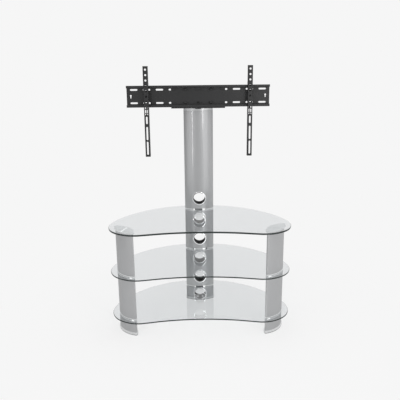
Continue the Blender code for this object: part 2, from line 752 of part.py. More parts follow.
def build_adapter(black, zinc):
    """Adapter plate with a lower tab, and the screws that hold it on the boss."""
    low = PLATE_BASE - ADAPTER_BASE_DROP
    high = PLATE_TOP - ADAPTER_TOP_DROP
    half = ADAPTER_WIDTH / 2
    tab = ADAPTER_TAB_WIDTH / 2
    drop = low - ADAPTER_TAB_DROP
    outline = [(-half, low), (-tab, low), (-tab, drop), (tab, drop), (tab, low), (half, low),
               (half, high), (-half, high)]
    front = ADAPTER_FRONT
    rear = ADAPTER_FRONT + ADAPTER_THICKNESS
    adapter = add_object("adapter_plate", skin("adapter_plate", [[front_loop(outline, front),
                         front_loop(outline, rear)]]), black)
    bores = []
    for _, x, z in plate_bolt_places():
        outline = circle(BOLT_DIAMETER / 2 + CLEARANCE, SCREW_SIDES, (x, z))
        bores.append([front_loop(outline, front - OVERRUN), front_loop(outline, rear + OVERRUN)])
    sink = SCREW_HEAD_HEIGHT + CLEARANCE
    for label, (x, z) in zip(("lower", "upper"), adapter_screw_places()):
        bores.append(screw_pocket(x, z, front, rear, sink))
        screw = front_screw(x, z, rear + ADAPTER_SCREW_LENGTH, front + sink, SCREW_DIAMETER / 2,
                            SCREW_HEAD_DIAMETER / 2, SCREW_HEAD_HEIGHT)
        name = "adapter_screw_" + label
        add_object(name, skin(name, [screw], smooth=True), zinc)
    cut(adapter, "adapter_plate_bores", bores)


def screw_pocket(x, z, front, rear, sink):
    """Stepped cutter for a screw whose head is sunk in a plate."""
    narrow = circle(SCREW_DIAMETER / 2 + CLEARANCE, SCREW_SIDES, (x, z))
    wide = circle(SCREW_HEAD_DIAMETER / 2 + CLEARANCE, SCREW_SIDES, (x, z))
    floor = front + sink + CLEARANCE
    return [front_loop(wide, front - OVERRUN), front_loop(wide, floor), front_loop(narrow, floor),
            front_loop(narrow, rear + OVERRUN)]


def build_plate(black):
    """Mounting plate: a web with two rows of slots, keyholes at its ends and a lip above and below."""
    wall = PLATE_THICKNESS
    low = PLATE_BASE + LIP_HEIGHT
    high = PLATE_TOP - LIP_HEIGHT
    section = [
        (LIP_FRONT, PLATE_BASE), (LIP_FRONT, low), (PLATE_FRONT, low), (PLATE_FRONT, high),
        (LIP_FRONT, high), (LIP_FRONT, PLATE_TOP), (LIP_REAR, PLATE_TOP), (LIP_REAR, high + wall),
        (PLATE_REAR, high + wall), (PLATE_REAR, low - wall), (LIP_REAR, low - wall), (LIP_REAR, PLATE_BASE),
    ]
    half = PLATE_LENGTH / 2
    plate = add_object("mounting_plate", skin("mounting_plate", [[side_loop(section, -half),
                       side_loop(section, half)]]), black)
    front = PLATE_FRONT - OVERRUN
    rear = PLATE_REAR + OVERRUN
    shells = []
    for row in SLOT_ROWS:
        for index in range(-PLATE_SLOTS_EACH_SIDE, PLATE_SLOTS_EACH_SIDE + 1):
            outline = slot_outline(PLATE_SLOT_LENGTH, PLATE_SLOT_HEIGHT, (index * PLATE_SLOT_PITCH, row))
            shells.append([front_loop(outline, front), front_loop(outline, rear)])
    for side in (-1, 1):
        outline = keyhole_outline(side * (half - KEYHOLE_INSET), PLATE_MIDDLE + KEYHOLE_RISE)
        shells.append([front_loop(outline, front), front_loop(outline, rear)])
        near, far = sorted((side * (half - PLATE_END_STEP), side * (half + OVERRUN)))
        shells.append(box_shell((near, front, low), (far, rear, high)))
    cut(plate, "mounting_plate_slots", shells)
    build_plate_bolts(black)


def keyhole_outline(x, z):
    """Round head with a narrow neck below it."""
    head = KEYHOLE_HEAD / 2
    neck = KEYHOLE_NECK / 2
    start = math.asin(neck / head)
    points = []
    for step in range(2 * SLOT_END_STEPS + 1):
        turn = -math.pi / 2 + start + (2 * math.pi - 2 * start) * step / (2 * SLOT_END_STEPS)
        points.append((x + head * math.cos(turn), z + head * math.sin(turn)))
    points.append((x - neck, z - KEYHOLE_LENGTH))
    points.append((x + neck, z - KEYHOLE_LENGTH))
    return points


def build_plate_bolts(black):
    """Bolts through the plate's slots and the adapter plate, each with its nut run on behind."""
    rear = ADAPTER_FRONT + ADAPTER_THICKNESS
    radius = BOLT_DIAMETER / 2
    low = rear + CLEARANCE
    high = low + NUT_HEIGHT
    seat = PLATE_FRONT - CLEARANCE
    top = seat - BOLT_HEAD_HEIGHT
    for label, x, z in plate_bolt_places():
        def along(points, depth):
            return front_loop([(x + px, z + pz) for px, pz in points], depth)
        shank = circle(radius, ROD_SIDES)
        head = circle(BOLT_HEAD_DIAMETER / 2, ROD_SIDES)
        nut = hexagon(NUT_WIDTH)
        loops = [along(shank, high + OVERRUN), along(shank, high), along(nut, high), along(nut, low),
                 along(shank, low), along(shank, seat), along(head, seat),
                 along(circle(BOLT_HEAD_DIAMETER / 4, ROD_SIDES), top)]
        name = "plate_bolt_" + label
        add_object(name, skin(name, [loops], smooth=True), black)


def arm_hook_outline():
    """Side view of an ear that hooks over the plate's upper lip."""
    root = ARM_REAR - ARM_WALL
    seat = PLATE_TOP + CLEARANCE
    inner = LIP_REAR + LIP_PLAY
    outer = inner + HOOK_TONGUE
    tip = PLATE_TOP - HOOK_REACH
    top = seat + HOOK_ROOT_HEIGHT
    return [(root, seat), (inner, seat), (inner, tip), (outer, tip), (outer, top), (root, top)]


def arm_cutters():
    """Cutters for the holes, the window and the slots in an arm's front face."""
    front = ARM_FRONT - OVERRUN
    rear = ARM_FRONT + ARM_WALL + OVERRUN
    outlines = []
    for index in range(ARM_HOLE_COUNT):
        height = ARM_TOP - ARM_HOLE_TOP_GAP - index * ARM_HOLE_PITCH
        outlines.append(circle(ARM_HOLE_DIAMETER / 2, ARM_HOLE_SIDES, (0, height)))
    low = ARM_BASE + ARM_FOOT_GAP
    for length, bridge in ((ARM_LONG_SLOT, ARM_LOW_BRIDGE), (ARM_LONG_SLOT, ARM_MID_BRIDGE),
                           (ARM_SHORT_SLOT, ARM_LOW_BRIDGE)):
        outlines.append(slot_outline(length, ARM_SLOT_WIDTH, (0, low + length / 2), upright=True))
        low += length + bridge
    half = ARM_WINDOW_WIDTH / 2
    point = WINDOW_POINT_WIDTH / 2
    high = low + ARM_WINDOW_HEIGHT
    outlines.append([(-half, low), (-point, low), (0, low + WINDOW_POINT_HEIGHT), (point, low), (half, low),
                     (half, high), (-half, high)])
    return [[front_loop(outline, front), front_loop(outline, rear)] for outline in outlines]


def build_arm(side_name, side, black):
    """One screen arm: a channel with hooks for the plate's lip, a spring seat and its guide pin."""
    half = ARM_WIDTH / 2
    name = "arm_" + side_name
    inner = half - ARM_WALL
    step = ARM_FRONT + ARM_WALL
    section = [(-half, ARM_FRONT), (half, ARM_FRONT), (half, ARM_REAR), (inner, ARM_REAR), (inner, step),
               (-inner, step), (-inner, ARM_REAR), (-half, ARM_REAR)]
    arm = add_object(name, skin(name, [[flat_loop(section, ARM_BASE), flat_loop(section, ARM_TOP)]]),
                     black, (side * ARM_X, 0))
    hook = arm_hook_outline()
    ears = [[side_loop(hook, edge), side_loop(hook, edge + ARM_WALL)] for edge in (-half, inner)]
    combine(arm, name + "_ears", ears, "UNION", (side * ARM_X, 0))
    shelf = box_shell((-inner - ARM_WALL / 2, step - ARM_WALL / 2, SEAT_TOP - SEAT_THICKNESS),
                      (inner + ARM_WALL / 2, ARM_REAR - ARM_WALL, SEAT_TOP))
    combine(arm, name + "_seat", [shelf], "UNION", (side * ARM_X, 0))
    pin = rod_shell(SEAT_TOP - SEAT_THICKNESS / 2, CATCH_TOP + PIN_REACH, (0, SPRING_Y), PIN_DIAMETER / 2)
    combine(arm, name + "_pin", [pin], "UNION", (side * ARM_X, 0))
    cut(arm, name + "_openings", arm_cutters(), (side * ARM_X, 0))


def build_catch(side_name, side, black, zinc):
    """Spring catch that closes behind the plate's lower lip, with its spring."""
    half = ARM_WIDTH / 2 - ARM_WALL - CATCH_SIDE_PLAY
    front = ARM_FRONT + ARM_WALL + CATCH_FRONT_PLAY
    inner = LIP_REAR + LIP_PLAY
    outer = inner + HOOK_TONGUE
    top = PLATE_BASE + CATCH_HOOK_RISE
    section = [(front, CATCH_BASE), (outer, CATCH_BASE), (outer, top), (inner, top), (inner, CATCH_TOP),
               (front, CATCH_TOP)]
    name = "catch_" + side_name
    place = (side * ARM_X, 0)
    mesh = skin(name, [[side_loop(section, -half), side_loop(section, half)]])
    catch = add_object(name, mesh, black, place)
    bore = rod_shell(CATCH_BASE - OVERRUN, CATCH_TOP + OVERRUN, (0, SPRING_Y), PIN_DIAMETER / 2 + PIN_PLAY)
    cut(catch, name + "_bore", [bore], place)
    build_spring("catch_spring_" + side_name, place, zinc)


def spring_path():
    """Middle line of the coil, with a straight end one wire thick at the seat and at the catch."""
    radius = (SPRING_DIAMETER - SPRING_WIRE) / 2
    low = SEAT_TOP + CLEARANCE
    high = CATCH_BASE - CLEARANCE
    rise = high - low - 2 * SPRING_WIRE
    count = SPRING_TURNS * SPRING_TURN_POINTS
    points = [Vector((radius, SPRING_Y, low))]
    for index in range(count + 1):
        turn = 2 * math.pi * index / SPRING_TURN_POINTS
        height = low + SPRING_WIRE + rise * index / count
        points.append(Vector((radius * math.cos(turn), SPRING_Y + radius * math.sin(turn), height)))
    points.append(Vector((radius, SPRING_Y, high)))
    return points


def wire_loops(points, radius):
    """Loops round a path, carried along it without twist; the end loops are level."""
    loops = []
    across = Vector((1, 0, 0))
    for index, point in enumerate(points):
        before = points[max(index - 1, 0)]
        after = points[min(index + 1, len(points) - 1)]
        along = (after - before).normalized()
        across = (across - along * across.dot(along)).normalized()
        beside = along.cross(across)
        loop = []
        for step in range(WIRE_SIDES):
            turn = 2 * math.pi * step / WIRE_SIDES
            loop.append(tuple(point + radius * (across * math.cos(turn) + beside * math.sin(turn))))
        loops.append(loop)
    return loops


def build_spring(name, place, zinc):
    """Open coil between the seat and the catch."""
    points = spring_path()
    add_object(name, skin(name, [wire_loops(points, SPRING_WIRE / 2)], smooth=True), zinc, place)
    print(name, "least gap between turns, mm:", round(least_gap(points) / MILLIMETRE, 3))


def least_gap(points):
    """Least gap of a coil's wire to itself, measured between points half a turn or more apart."""
    apart = SPRING_TURN_POINTS // 2
    gaps = [(far - near).length - SPRING_WIRE for index, near in enumerate(points)
            for far in points[index + apart:]]
    return min(gaps)


def main():
    """Build every piece of the stand."""
    clear_scene()
    glass = make_material("clear_glass", (0.80, 0.88, 0.86), 0.0, 0.03, 1.0)
    silver = make_material("silver_aluminium", (0.42, 0.42, 0.43), 0.85, 0.38)
    trim = make_material("silver_plastic", (0.55, 0.55, 0.56), 0.3, 0.42)
    chrome = make_material("bright_chrome", (0.85, 0.85, 0.86), 1.0, 0.10)
    black = make_material("black_steel", (0.035, 0.035, 0.037), 0.1, 0.42)
    zinc = make_material("zinc_steel", (0.60, 0.60, 0.61), 1.0, 0.34)
    build_shelves(glass)
    build_column_foot(silver, trim, zinc)
    build_column_bay("lower", bay_span(BOTTOM_GLASS_Z, LOWER_GLASS_THICKNESS, MIDDLE_GLASS_Z), silver, trim)
    build_column_bay("upper", bay_span(MIDDLE_GLASS_Z, LOWER_GLASS_THICKNESS, TOP_GLASS_Z), silver, trim)
    build_mast(silver, trim)
    build_head(silver)
    build_column_rods(zinc)
    build_cable_rings(chrome)
    for side_name, side in LEG_SIDES:
        build_leg(side_name, side, silver, trim, zinc)
    build_adapter(black, zinc)
    build_plate(black)
    for side_name, side in LEG_SIDES:
        build_arm(side_name, side, black)
        build_catch(side_name, side, black, zinc)


main()
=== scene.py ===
"""Looks of the television stand: glass shelves, a silver column and legs, and a black bracket.

Lengths are metres in the frame's own axes: +X is the viewer's right, -Y faces the viewer and
+Z is up.
"""
import logging
from dataclasses import dataclass
from enum import Enum
from math import asin, atan2, copysign, cos, degrees, hypot, pi, radians, sin, sqrt, tan
from typing import Callable, Sequence

import bmesh
import bpy
from mathutils import Matrix, Vector


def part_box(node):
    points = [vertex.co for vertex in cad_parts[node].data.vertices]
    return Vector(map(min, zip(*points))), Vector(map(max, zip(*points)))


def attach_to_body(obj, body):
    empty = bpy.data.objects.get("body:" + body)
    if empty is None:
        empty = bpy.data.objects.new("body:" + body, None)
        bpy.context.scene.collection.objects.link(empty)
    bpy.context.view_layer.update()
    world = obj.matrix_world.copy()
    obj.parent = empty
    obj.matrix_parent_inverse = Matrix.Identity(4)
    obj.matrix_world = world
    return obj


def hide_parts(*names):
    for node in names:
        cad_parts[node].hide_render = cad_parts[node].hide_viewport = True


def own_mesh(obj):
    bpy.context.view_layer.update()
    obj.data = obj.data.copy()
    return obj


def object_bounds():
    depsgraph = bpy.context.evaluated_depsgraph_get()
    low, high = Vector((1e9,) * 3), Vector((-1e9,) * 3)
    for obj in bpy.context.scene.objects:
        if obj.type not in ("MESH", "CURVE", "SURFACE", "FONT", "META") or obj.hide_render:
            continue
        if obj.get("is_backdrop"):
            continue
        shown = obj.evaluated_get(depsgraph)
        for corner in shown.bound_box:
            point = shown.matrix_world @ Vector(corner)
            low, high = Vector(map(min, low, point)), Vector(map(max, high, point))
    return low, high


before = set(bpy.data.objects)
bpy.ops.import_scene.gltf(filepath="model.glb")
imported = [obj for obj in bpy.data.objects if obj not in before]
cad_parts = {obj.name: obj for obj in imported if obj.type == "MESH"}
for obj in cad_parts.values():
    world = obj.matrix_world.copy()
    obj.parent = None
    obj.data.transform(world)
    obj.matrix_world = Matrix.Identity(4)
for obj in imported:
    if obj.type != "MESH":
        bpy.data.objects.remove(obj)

CAD_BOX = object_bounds()
GAP = 0.0003
OVERRUN = 0.002
EDGE_ANGLE = radians(38.0)
QUARTER = pi / 2
LOG = logging.getLogger("tv_stand")

Flat = tuple[float, float]
Point = tuple[float, float, float]
Loop = list[Point]
Lay = Callable[[Sequence[Flat], float], Loop]
NormalRule = Callable[[Vector, Vector], Vector]
SlotRule = Callable[[Vector, Vector], int]
Piece = bpy.types.Object
Material = bpy.types.Material
Node = bpy.types.Node
Socket = bpy.types.NodeSocket


class Slot(Enum):
    """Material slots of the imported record."""

    GLASS = "clear_glass"
    SILVER = "silver_aluminium"
    TRIM = "silver_plastic"
    CHROME = "bright_chrome"
    BLACK = "black_steel"
    ZINC = "zinc_steel"


class Side(Enum):
    """Left and right as the viewer sees them."""

    LEFT = -1
    RIGHT = 1

    @property
    def word(self) -> str:
        """The side's name in small letters, as the frame's names have it."""
        return self.name.lower()


# Outlines and loops

def circle(radius: float, sides: int, middle: Flat = (0.0, 0.0)) -> list[Flat]:
    """Draws the points of a circle.

    Args:
        radius: Distance of the points from the middle.
        sides: Number of points.
        middle: Centre of the circle.

    Returns:
        The points in order, counter-clockwise.
    """
    turns = [2 * pi * index / sides for index in range(sides)]
    return [(middle[0] + radius * cos(turn), middle[1] + radius * sin(turn))
            for turn in turns]


def oblong(left: float, low: float, right: float, high: float) -> list[Flat]:
    """Draws the four corners of an upright box."""
    return [(left, low), (right, low), (right, high), (left, high)]


def stadium(length: float, height: float, steps: int, middle: Flat = (0.0, 0.0),
            upright: bool = False) -> list[Flat]:
    """Draws a slot with round ends.

    Args:
        length: Length over the round ends.
        height: Width of the slot.
        steps: Number of spans in each round end.
        middle: Centre of the slot.
        upright: Whether the slot stands along the second axis.

    Returns:
        The points in order.
    """
    radius = height / 2
    reach = length / 2 - radius
    points = []
    for side in (1, -1):
        for step in range(steps + 1):
            turn = pi * (step / steps - 1 / 2)
            along = side * (reach + radius * cos(turn))
            across = side * radius * sin(turn)
            shift = (-across, along) if upright else (along, across)
            points.append((middle[0] + shift[0], middle[1] + shift[1]))
    return points


def corner_arc(before: Vector, corner: Vector, after: Vector, radius: float,
               steps: int) -> list[Flat]:
    """Rounds one corner between two straight runs.

    Args:
        before: Point that the first run comes from.
        corner: The sharp corner.
        after: Point that the second run goes to.
        radius: Radius of the rounding.
        steps: Number of spans in the rounding.

    Returns:
        The points of the arc, from the first run to the second.
    """
    toward = (before - corner).normalized()
    away = (after - corner).normalized()
    half = toward.angle(away) / 2
    centre = corner + (toward + away).normalized() * radius / sin(half)
    first = corner + toward * radius / tan(half) - centre
    last = corner + away * radius / tan(half) - centre
    sweep = atan2(first.x * last.y - first.y * last.x, first.dot(last))
    points = []
    for step in range(steps + 1):
        turn = sweep * step / steps
        points.append((centre.x + first.x * cos(turn) - first.y * sin(turn),
                       centre.y + first.x * sin(turn) + first.y * cos(turn)))
    return points


def rounded(corners: Sequence[Point], steps: int, closed: bool = True) -> list[Flat]:
    """Draws straight runs with rounded corners.

    Args:
        corners: Each corner's place and its radius, which is zero for a sharp corner.
        steps: Number of spans in each rounding.
        closed: Whether the last corner joins the first.

    Returns:
        The points in order.
    """
    points: list[Flat] = []
    for index, (x, y, radius) in enumerate(corners):
        end = not closed and index in (0, len(corners) - 1)
        if end or radius == 0:
            points.append((x, y))
            continue
        before = Vector(corners[index - 1][:2])
        after = Vector(corners[(index + 1) % len(corners)][:2])
        points.extend(corner_arc(before, Vector((x, y)), after, radius, steps))
    return points


def strip(path: Sequence[Flat], thickness: float) -> list[Flat]:
    """Draws the cut end of a metal strip that follows a path.

    Args:
        path: Middle line of the strip.
        thickness: Thickness of the metal.

    Returns:
        The closed outline: one side of the strip, then the other side back.
    """
    left, right = [], []
    for index, point in enumerate(path):
        before = Vector(path[max(index - 1, 0)])
        here = Vector(point)
        after = Vector(path[min(index + 1, len(path) - 1)])
        runs = [run.normalized() for run in (here - before, after - here) if run.length > 0]
        along = sum(runs, Vector((0.0, 0.0))).normalized()
        reach = thickness / 2 / max(along.dot(runs[0]), 0.5)
        beside = Vector((-along.y, along.x)) * reach
        left.append(tuple(here + beside))
        right.append(tuple(here - beside))
    return left + right[::-1]


def edge_rows(inset: float, height: float, radius: float, rising: bool,
              steps: int = 3) -> list[Flat]:
    """Draws a rounded edge as rows of inset and height.

    Args:
        inset: Inset of the side next to the edge.
        height: Height of the end face.
        radius: Radius of the edge.
        rising: Whether the edge is at an upper end.
        steps: Number of spans.

    Returns:
        The rows, from the lower to the upper.
    """
    rows = []
    for step in range(steps + 1):
        turn = QUARTER * step / steps
        rows.append((inset + radius * (1 - sin(turn)),
                     height - (1 if rising else -1) * radius * (1 - cos(turn))))
    return rows[::-1] if rising else rows


def level_loop(outline: Sequence[Flat], height: float) -> Loop:
    """Lays a plan outline at a height."""
    return [(x, y, height) for x, y in outline]


def front_loop(outline: Sequence[Flat], depth: float) -> Loop:
    """Stands an outline of (x, z) points at a depth."""
    return [(x, depth, z) for x, z in outline]


def side_loop(outline: Sequence[Flat], across: float) -> Loop:
    """Stands an outline of (y, z) points at a place across."""
    return [(across, y, z) for y, z in outline]


def wire_loops(points: Sequence[Vector], radius: float, sides: int) -> list[Loop]:
    """Draws loops round a path, carried along it without twist.

    Args:
        points: Middle line of the wire.
        radius: Radius of the wire.
        sides: Points in each loop.

    Returns:
        The loops.
    """
    loops = []
    across = Vector((1.0, 0.0, 0.0))
    last = len(points) - 1
    for index, point in enumerate(points):
        along = (points[min(index + 1, last)] - points[max(index - 1, 0)]).normalized()
        across = (across - along * across.dot(along)).normalized()
        beside = along.cross(across)
        loop = []
        for step in range(sides):
            turn = 2 * pi * step / sides
            away = across * cos(turn) + beside * sin(turn)
            loop.append(tuple(point + radius * away))
        loops.append(loop)
    return loops


class Form:
    """Points and faces of a piece while it is being shaped."""

    def __init__(self) -> None:
        """Starts with nothing."""
        self.points: list[Point] = []
        self.faces: list[tuple[int, ...]] = []

    def skin(self, loops: Sequence[Loop], closed: bool = False) -> "Form":
        """Adds a skin over equal loops, in order.

        Args:
            loops: Loops of the same number of points.
            closed: Whether the last loop joins the first; both ends are filled if it doesn't.

        Returns:
            The form itself, so that calls can follow each other.
        """
        count = len(loops[0])
        start = len(self.points)
        for loop in loops:
            self.points.extend(loop)
        for step in range(len(loops) if closed else len(loops) - 1):
            low = start + step * count
            high = start + (step + 1) % len(loops) * count
            for index in range(count):
                after = (index + 1) % count
                self.faces.append((low + index, low + after, high + after, high + index))
        if not closed:
            end = len(self.points)
            self.faces.append(tuple(range(start + count - 1, start - 1, -1)))
            self.faces.append(tuple(range(end - count, end)))
        return self

    def bar(self, lay: Lay, outline: Sequence[Flat], low: float, high: float) -> "Form":
        """Adds a straight bar with one outline, from one place to another."""
        return self.skin([lay(outline, low), lay(outline, high)])

    def mesh(self, name: str) -> bpy.types.Mesh:
        """Makes the mesh, with every face pointing out.

        Args:
            name: Name of the mesh.

        Returns:
            The new mesh.
        """
        mesh = bpy.data.meshes.new(name)
        mesh.from_pydata(self.points, [], self.faces)
        shape = bmesh.new()
        shape.from_mesh(mesh)
        bmesh.ops.recalc_face_normals(shape, faces=shape.faces)
        shape.to_mesh(mesh)
        shape.free()
        return mesh


# Work on a piece

def raw_piece(name: str, form: Form) -> Piece:
    """Puts a form into the scene as an object with no finish yet.

    Args:
        name: Name of the object and its mesh.
        form: Its shape.

    Returns:
        The object.
    """
    piece = bpy.data.objects.new(name, form.mesh(name))
    bpy.context.scene.collection.objects.link(piece)
    return piece


def settle(piece: Piece) -> None:
    """Applies every modifier of a piece.

    Args:
        piece: The piece that changes.
    """
    graph = bpy.context.evaluated_depsgraph_get()
    mesh = bpy.data.meshes.new_from_object(piece.evaluated_get(graph))
    old = piece.data
    piece.modifiers.clear()
    piece.data = mesh
    bpy.data.meshes.remove(old)
    mesh.name = piece.name


def combine(piece: Piece, form: Form, operation: str = "DIFFERENCE") -> None:
    """Cuts a form out of a piece or joins it on.

    Args:
        piece: The piece that changes.
        form: The cutter or the added part.
        operation: DIFFERENCE or UNION.
    """
    tool = raw_piece(piece.name + "_tool", form)
    modifier = piece.modifiers.new("tool", "BOOLEAN")
    modifier.operation = operation
    modifier.object = tool
    modifier.solver = "EXACT"
    settle(piece)
    mesh = tool.data
    bpy.data.objects.remove(tool)
    bpy.data.meshes.remove(mesh)


def broken_edges(piece: Piece, width: float) -> bpy.types.Modifier:
    """Puts a bevel on the sharp edges of a piece.

    Args:
        piece: The piece.
        width: Width of the bevel.

    Returns:
        The bevel, not yet applied.
    """
    bevel = piece.modifiers.new("broken_edges", "BEVEL")
    bevel.width = width
    bevel.segments = 2
    bevel.limit_method = "ANGLE"
    bevel.angle_limit = EDGE_ANGLE
    return bevel


def round_edges(piece: Piece, width: float) -> None:
    """Breaks the sharp edges of a piece for good."""
    broken_edges(piece, width).miter_outer = "MITER_ARC"
    settle(piece)


def lies_level(normal: Vector) -> bool:
    """Says of a face normal whether the face lies level."""
    return abs(normal.z) > 0.999


def lies_square(normal: Vector) -> bool:
    """Says of a face normal whether the face lies square to the axes."""
    return max(abs(value) for value in normal) > 0.9999


def shade_by_angle(piece: Piece, angle: float,
                   level: Callable[[Vector], bool] | None = None) -> None:
    """Shades a piece smooth across its shallow edges.

    Args:
        piece: The piece that changes.
        angle: Edges steeper than this, in degrees, stay sharp.
        level: Says of a face normal whether that face keeps its own flat shade.
    """
    shape = bmesh.new()
    shape.from_mesh(piece.data)
    shape.normal_update()
    limit = radians(angle)
    for face in shape.faces:
        face.smooth = True
    for edge in shape.edges:
        flats = [level is not None and level(face.normal) for face in edge.link_faces]
        turned = len(edge.link_faces) == 2 and edge.calc_face_angle() > limit
        edge.smooth = not (turned or any(flats)) or all(flats)
    shape.to_mesh(piece.data)
    shape.free()


def shade_by_rule(piece: Piece, rule: NormalRule) -> None:
    """Gives every face corner the normal that a rule works out.

    Args:
        piece: The piece that changes.
        rule: Returns the normal for a corner's place and its face's own normal.
    """
    mesh = piece.data
    mesh.shade_smooth()
    normals = []
    for face in mesh.polygons:
        for index in face.loop_indices:
            place = mesh.vertices[mesh.loops[index].vertex_index].co
            normals.append(rule(place, face.normal))
    mesh.normals_split_custom_set(normals)


def attach(piece: Piece, form: Form, slot: int) -> None:
    """Adds a loose part to a piece's mesh.

    Args:
        piece: The piece that changes.
        form: The added part.
        slot: Material slot of the added faces.
    """
    extra = form.mesh(piece.name + "_part")
    shape = bmesh.new()
    shape.from_mesh(piece.data)
    count = len(shape.faces)
    shape.from_mesh(extra)
    shape.faces.ensure_lookup_table()
    for index in range(count, len(shape.faces)):
        shape.faces[index].material_index = slot
    shape.to_mesh(piece.data)
    shape.free()
    bpy.data.meshes.remove(extra)


@dataclass(frozen=True)
class Spot:
    """Place on the floor plan of a part's own axes."""

    x: float = 0.0
    y: float = 0.0
    turn: float = 0.0

    def matrix(self) -> Matrix:
        """The move from the part's own axes to the frame's."""
        return Matrix.Translation((self.x, self.y, 0.0)) @ Matrix.Rotation(self.turn, 4, "Z")


def deliver(piece: Piece, node: str, slot: Slot, materials: Sequence[Material],
            rule: SlotRule | None = None, body: str = "stand", spot: Spot = Spot()) -> None:
    """Gives a piece its materials, moves it to its place, ties it to the frame and reports it.

    Args:
        piece: The finished piece.
        node: CAD node that it stands for.
        slot: The record's material slot.
        materials: Its materials, in order.
        rule: Picks one by a face's normal and middle; faces keep their number without it.
        body: Body that it rides on.
        spot: Place of its own axes.
    """
    mesh = piece.data
    kept = [face.material_index for face in mesh.polygons]
    mesh.materials.clear()
    for material in materials:
        mesh.materials.append(material)
    for face, number in zip(mesh.polygons, kept):
        face.material_index = rule(face.normal, face.center) if rule else number
    mesh.transform(spot.matrix())
    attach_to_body(piece, body)
    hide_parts(node)
    LOG.info("%s: %d faces, rides on %s", piece.name, len(mesh.polygons), body)


def reach_of(node: str, axis: int) -> Flat:
    """Lowest and highest place of a CAD node along an axis."""
    low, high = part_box(node)
    return low[axis], high[axis]


def middle_of(node: str, axis: int) -> float:
    """Middle of a CAD node along an axis."""
    return sum(reach_of(node, axis)) / 2


# Shader work

FULL = (0.0, 1.0)
NOISE_SPAN = (0.3, 0.7)
SKIN_SPAN = (0.3, 0.9)
EDGE_SPAN = (0.99, 0.86)
UPWARD_SPAN = (0.5, 1.0)
CELL_SHARE = 0.4


@dataclass(frozen=True)
class Tint:
    """A colour in linear light."""

    red: float
    green: float
    blue: float

    def rgba(self) -> tuple[float, float, float, float]:
        """The colour with full cover."""
        return self.red, self.green, self.blue, 1.0


def grey(value: float) -> Tint:
    """A colour that is the same in all three parts."""
    return Tint(value, value, value)


class Graph:
    """Short way to place and join the nodes of one shader tree."""

    def __init__(self, tree: bpy.types.NodeTree) -> None:
        """Keeps the tree that the nodes go into."""
        self.tree = tree

    def feed(self, node: Node, inputs: dict[str | int, object]) -> Node:
        """Sets inputs of a node.

        Args:
            node: The node.
            inputs: Values of its inputs, or the sockets that feed them, by name or number.

        Returns:
            The node.
        """
        for name, value in inputs.items():
            if isinstance(value, Socket):
                self.tree.links.new(value, node.inputs[name])
            else:
                node.inputs[name].default_value = value
        return node

    def add(self, kind: str, inputs: dict[str | int, object] | None = None,
            **settings: object) -> Node:
        """Adds a node.

        Args:
            kind: Type name without its ShaderNode prefix.
            inputs: Values of its inputs, or the sockets that feed them, by name or number.
            settings: Values of its own properties.

        Returns:
            The node.
        """
        node = self.tree.nodes.new("ShaderNode" + kind)
        for name, value in settings.items():
            setattr(node, name, value)
        return self.feed(node, inputs or {})

    def math(self, operation: str, *values: object) -> Socket:
        """Adds a Math node and returns its output."""
        return self.add("Math", dict(enumerate(values)), operation=operation).outputs[0]

    def place(self) -> Socket:
        """Adds the point on the surface, in the object's own axes."""
        return self.add("TexCoord").outputs["Object"]

    def split(self, value: Socket) -> bpy.types.bpy_prop_collection:
        """Adds the parts X, Y and Z of a point or direction."""
        return self.add("SeparateXYZ", {0: value}).outputs

    def noise(self, place: Socket, scale: object, detail: float, roughness: float = 0.5) -> Socket:
        """Adds a noise over a point and returns its value."""
        inputs = {"Vector": place, "Scale": scale, "Detail": detail, "Roughness": roughness}
        return self.add("TexNoise", inputs).outputs["Fac"]

    def bump(self, height: Socket, strength: float, distance: float) -> Socket:
        """Adds a bump and returns its normal."""
        inputs = {"Height": height, "Strength": strength, "Distance": distance}
        return self.add("Bump", inputs).outputs[0]

    def spread(self, value: Socket, source: Flat, target: Sequence[object]) -> Socket:
        """Maps a value from one range to another.

        Args:
            value: The socket that is read.
            source: Range that it is read over.
            target: Two numbers or sockets that it is mapped to.

        Returns:
            The mapped value.
        """
        inputs = {"Value": value, "From Min": source[0], "From Max": source[1],
                  "To Min": target[0], "To Max": target[1]}
        return self.add("MapRange", inputs).outputs[0]

    def toned(self, tint: Tint, value: Socket) -> Socket:
        """Multiplies a colour by a value that changes over the surface."""
        return self.add("Mix", {0: 1.0, 6: tint.rgba(), 7: value}, data_type="RGBA",
                        blend_type="MULTIPLY").outputs[2]

    def blended(self, share: Socket, base: Socket, over: Tint) -> Socket:
        """Lays a colour over another by a share that changes over the surface."""
        return self.add("Mix", {0: share, 6: base, 7: over.rgba()}, data_type="RGBA").outputs[2]

    def shown(self, share: Socket, base: Node, over: Node) -> None:
        """Sends a mix of two shaders to the material's output."""
        mix = self.add("MixShader", {0: share, 1: base.outputs[0], 2: over.outputs[0]})
        self.feed(self.tree.nodes["Material Output"], {"Surface": mix.outputs[0]})


